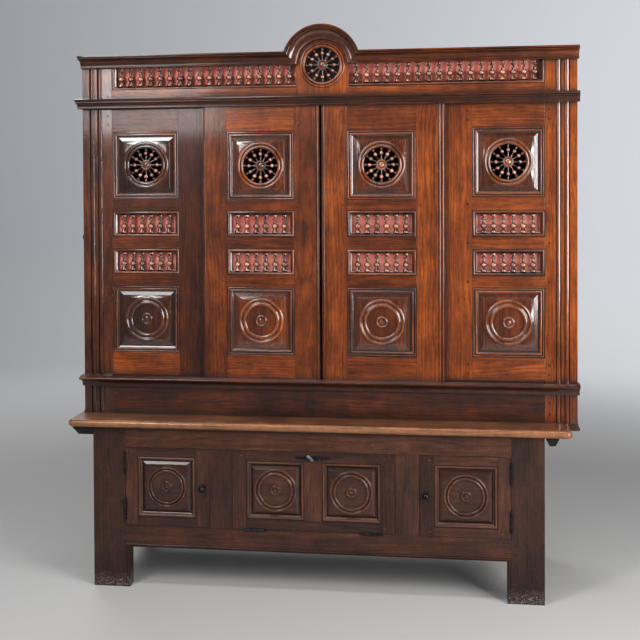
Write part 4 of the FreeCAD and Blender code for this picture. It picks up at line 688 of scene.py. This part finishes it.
def painted_highlights(finish, places):
    """Painted highlight and painted shade for each corner of a solid: a turned solid is painted
    light on its front and dark on its sides and back, and a raised form lighter towards its
    front.
    """
    size = places.max(axis=0) - places.min(axis=0)
    if finish.grain == "turned":
        longest = size.max()
        hub = size[1] > 0.3 * longest and size[0] > 0.03 and size[2] > 0.03
        if hub or size[1] > 0.6 * longest:
            return np.zeros(len(places))
        middle = (places[:, 1].max() + places[:, 1].min()) / 2
        front = (middle - places[:, 1]) / size[1] * 2
        # painted highlight on the front of a ball, painted shade on its sides and back
        return 0.78 * np.clip(front, 0.0, 1.0) ** 2 - 0.40
    if finish.crest:
        rise = np.clip(1.0 - (places[:, 1] - places[:, 1].min()) / finish.crest, 0.0, 1.0)
        # painted highlight on the frontmost part of a raised form
        return 0.24 * rise - 0.04
    return np.zeros(len(places))


def sunk(place):
    """Inside the blind opening behind the crest wheel."""
    return math.hypot(place[0] - CREST_X, place[2] - CREST_Z) < CREST_RADIUS


def joined(node, finish, corner_places, triangles):
    """A joiner's solid with its edges rounded: its corners, its faces, and the pairs of
    corners where the shading breaks."""
    made = solid_bmesh(corner_places, triangles)
    if finish.bevel and len(triangles) < MANY_TRIANGLES:
        soften(made, finish.bevel)
    if finish.wander:
        slice_along(made, 0, WANDER_STEP)
        wander(made, finish, WANDER_FRONT[node])
    made.verts.index_update()
    pairs = creases(made)
    places = np.array([v.co[:] for v in made.verts])
    faces = [[v.index for v in f.verts] for f in made.faces]
    made.free()
    return places, faces, pairs


def dress(node, finish):
    """One piece that stands for a CAD node: the same solids, with softened edges, and with
    the grain, tone and warmth of each solid kept in attributes."""
    draw = random.Random("grain of " + node)
    turned = finish.grain == "turned"
    places, faces, grain, tones_with_painted_light, warms, creased = [], [], [], [], [], []
    for corner_places, triangles in solids_of(node):
        if turned:
            solid_places = corner_places.astype(np.float64)
            solid_faces, pairs = triangles.tolist(), []
        else:
            solid_places, solid_faces, pairs = joined(node, finish, corner_places, triangles)
        low, high = solid_places.min(axis=0), solid_places.max(axis=0)
        size = high - low
        middle = Vector((low + high) / 2)
        if node.endswith("spindles"):
            solid_places[:, 0] = middle.x + (solid_places[:, 0] - middle.x) * SPINDLE_BREADTH
        tone, warm = board_tone(node, finish, middle, draw)
        shift = np.array([draw.uniform(0, 40), draw.uniform(-0.12, 0.12),
                          draw.uniform(0.03, 0.15)])
        # painted highlight and painted shade of each corner, added to the solid's tone
        lighter = painted_highlights(finish, solid_places)
        centred = solid_places - np.array(middle)
        framed = finish.grain == "frame" and size[0] > FRAME_SIZE and size[2] > FRAME_SIZE
        hollow = framed and len(triangles) < FRAME_TRIANGLES
        if turned:
            local = centred @ turned_axes(solid_places).T
        else:
            along = 0 if framed else grain_axis(finish.grain, size)
        offset = len(places)
        places.extend(solid_places.tolist())
        creased += [(a + offset, b + offset) for a, b in pairs]
        for face in solid_faces:
            faces.append([i + offset for i in face])
            if turned:
                points = local[face]
            else:
                if hollow:
                    along = member_axis(centred[face].mean(axis=0), size)
                points = centred[face][:, GRAIN_ORDERS[along]]
            grain.append(points + shift)
            # painted shadow on the floor of the blind opening
            if node == "crest_board" and sunk(solid_places[face].mean(axis=0)):
                tones_with_painted_light.append(np.full(len(face), OPENING_SHADE_TONE))
            else:
                tones_with_painted_light.append(tone + lighter[face])
            warms.append(np.full(len(face), warm))
    mesh = bpy.data.meshes.new("dressed_" + node)
    mesh.from_pydata(places, [], faces)
    mesh.polygons.foreach_set("use_smooth", [True] * len(mesh.polygons))
    mesh.set_sharp_from_angle(angle=math.radians(32))
    break_shading(mesh, creased)
    for name, kind, key, values in (("board", "FLOAT_VECTOR", "vector", grain),
                                    ("tone", "FLOAT", "value", tones_with_painted_light),
                                    ("warm", "FLOAT", "value", warms)):
        attribute = mesh.attributes.new(name, kind, "CORNER")
        attribute.data.foreach_set(key, np.concatenate(values).astype(np.float32).ravel())
    mesh.materials.append(MATERIALS[finish.material])
    piece = bpy.data.objects.new("dressed_" + node, mesh)
    bpy.context.scene.collection.objects.link(piece)
    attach(piece, BODY_OF[node])
    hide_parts(node)


def break_shading(mesh, pairs):
    """Marks more edges as sharp, named by their two corners."""
    if not pairs:
        return
    count = len(mesh.vertices)
    ends = np.empty(len(mesh.edges) * 2, np.int32)
    mesh.edges.foreach_get("vertices", ends)
    ends = np.sort(ends.reshape(-1, 2).astype(np.int64), axis=1)
    wanted = np.sort(np.array(pairs, np.int64), axis=1)
    chosen = np.isin(ends[:, 0] * count + ends[:, 1], wanted[:, 0] * count + wanted[:, 1])
    for edge in np.flatnonzero(chosen).tolist():
        mesh.edges[edge].use_edge_sharp = True


def repaint(node, material):
    """A CAD node whose shape is kept gets the detailed material in its slots."""
    slots = frame["nodes"][node].data.materials
    for index in range(len(slots)):
        slots[index] = MATERIALS[material]


make_camera()
for node in sorted(frame["nodes"]):
    if node in FINISHES:
        dress(node, FINISHES[node])
    else:
        repaint(node, frame["nodes"][node].data.materials[0].name)


# ---------------------------------------------------------------- studio

def backdrop():
    """Round floor that sweeps up into a wall on all sides, in one sheet."""
    bend, steps, sides = STAGE_BEND, 10, 96
    section = [(STAGE_RADIUS * k / 8, 0.0) for k in range(1, 9)]
    for step in range(1, steps + 1):
        angle = math.pi / 2 * step / steps
        section.append((STAGE_RADIUS + bend * math.sin(angle), bend - bend * math.cos(angle)))
    section.append((STAGE_RADIUS + bend, STAGE_HEIGHT))
    places, faces = [(0.0, 0.0, 0.0)], []
    for reach, height in section:
        for side in range(sides):
            turn = 2 * math.pi * side / sides
            places.append((reach * math.cos(turn), reach * math.sin(turn), height))
    for side in range(sides):
        follow = (side + 1) % sides
        faces.append((0, 1 + side, 1 + follow))
        for k in range(len(section) - 1):
            low, high = 1 + k * sides, 1 + (k + 1) * sides
            faces.append((low + side, high + side, high + follow, low + follow))
    mesh = bpy.data.meshes.new("studio_sweep")
    mesh.from_pydata(places, [], faces)
    mesh.polygons.foreach_set("use_smooth", [True] * len(faces))
    mesh.materials.append(studio("studio_grey", colour(186, 189, 194),
                                 colour(174, 177, 182), colour(190, 189, 187)))
    sheet = bpy.data.objects.new("studio_sweep", mesh)
    bpy.context.scene.collection.objects.link(sheet)


def soft_light(name, place, target, width, height, power, tint=(1.0, 1.0, 1.0)):
    """A rectangular lamp at a place, turned to what it lights."""
    data = bpy.data.lights.new(name, "AREA")
    data.shape = "RECTANGLE"
    data.size = width
    data.size_y = height
    data.energy = power
    data.color = tint
    lamp = bpy.data.objects.new(name, data)
    lamp.location = place
    lamp.visible_camera = False
    lamp.rotation_mode = "QUATERNION"
    lamp.rotation_quaternion = (Vector(target) - Vector(place)).to_track_quat("-Z", "Y")
    bpy.context.scene.collection.objects.link(lamp)


# name, place, what it lights, width and height in metres, watts and tint
LAMPS = [
    ("key_left", (-1.65, -2.75, 2.95), (-0.45, -0.15, 1.35), 0.8, 1.4, 54),
    ("sheen_left", (-1.45, -3.1, 2.03), (-0.55, -0.15, 1.75), 0.8, 0.45, 8,
     (1.0, 0.97, 0.97)),
    ("window_right", (2.75, -1.75, 1.6), (0.3, -0.2, 1.25), 1.3, 1.6, 72),
    ("strip_right", (2.2, -2.45, 1.5), (0.5, -0.15, 1.3), 0.22, 1.7, 38),
    ("top_strip", (0.0, -1.3, 3.7), (0.0, -0.2, 1.2), 2.8, 0.45, 42, (0.96, 0.96, 1.0)),
    ("back_fill", (-2.4, 3.0, 3.6), (0.0, 0.2, 0.9), 2.0, 1.6, 50),
]
AIR_COLOUR, AIR_LIGHT = colour(206, 210, 216), 0.08

backdrop()
for lamp_values in LAMPS:
    soft_light(*lamp_values)

world = bpy.data.worlds.new("studio_air")
world.use_nodes = True
air = world.node_tree.nodes["Background"]
air.inputs["Color"].default_value = AIR_COLOUR
air.inputs["Strength"].default_value = AIR_LIGHT
bpy.context.scene.world = world
bpy.context.scene.view_settings.view_transform = "Standard"
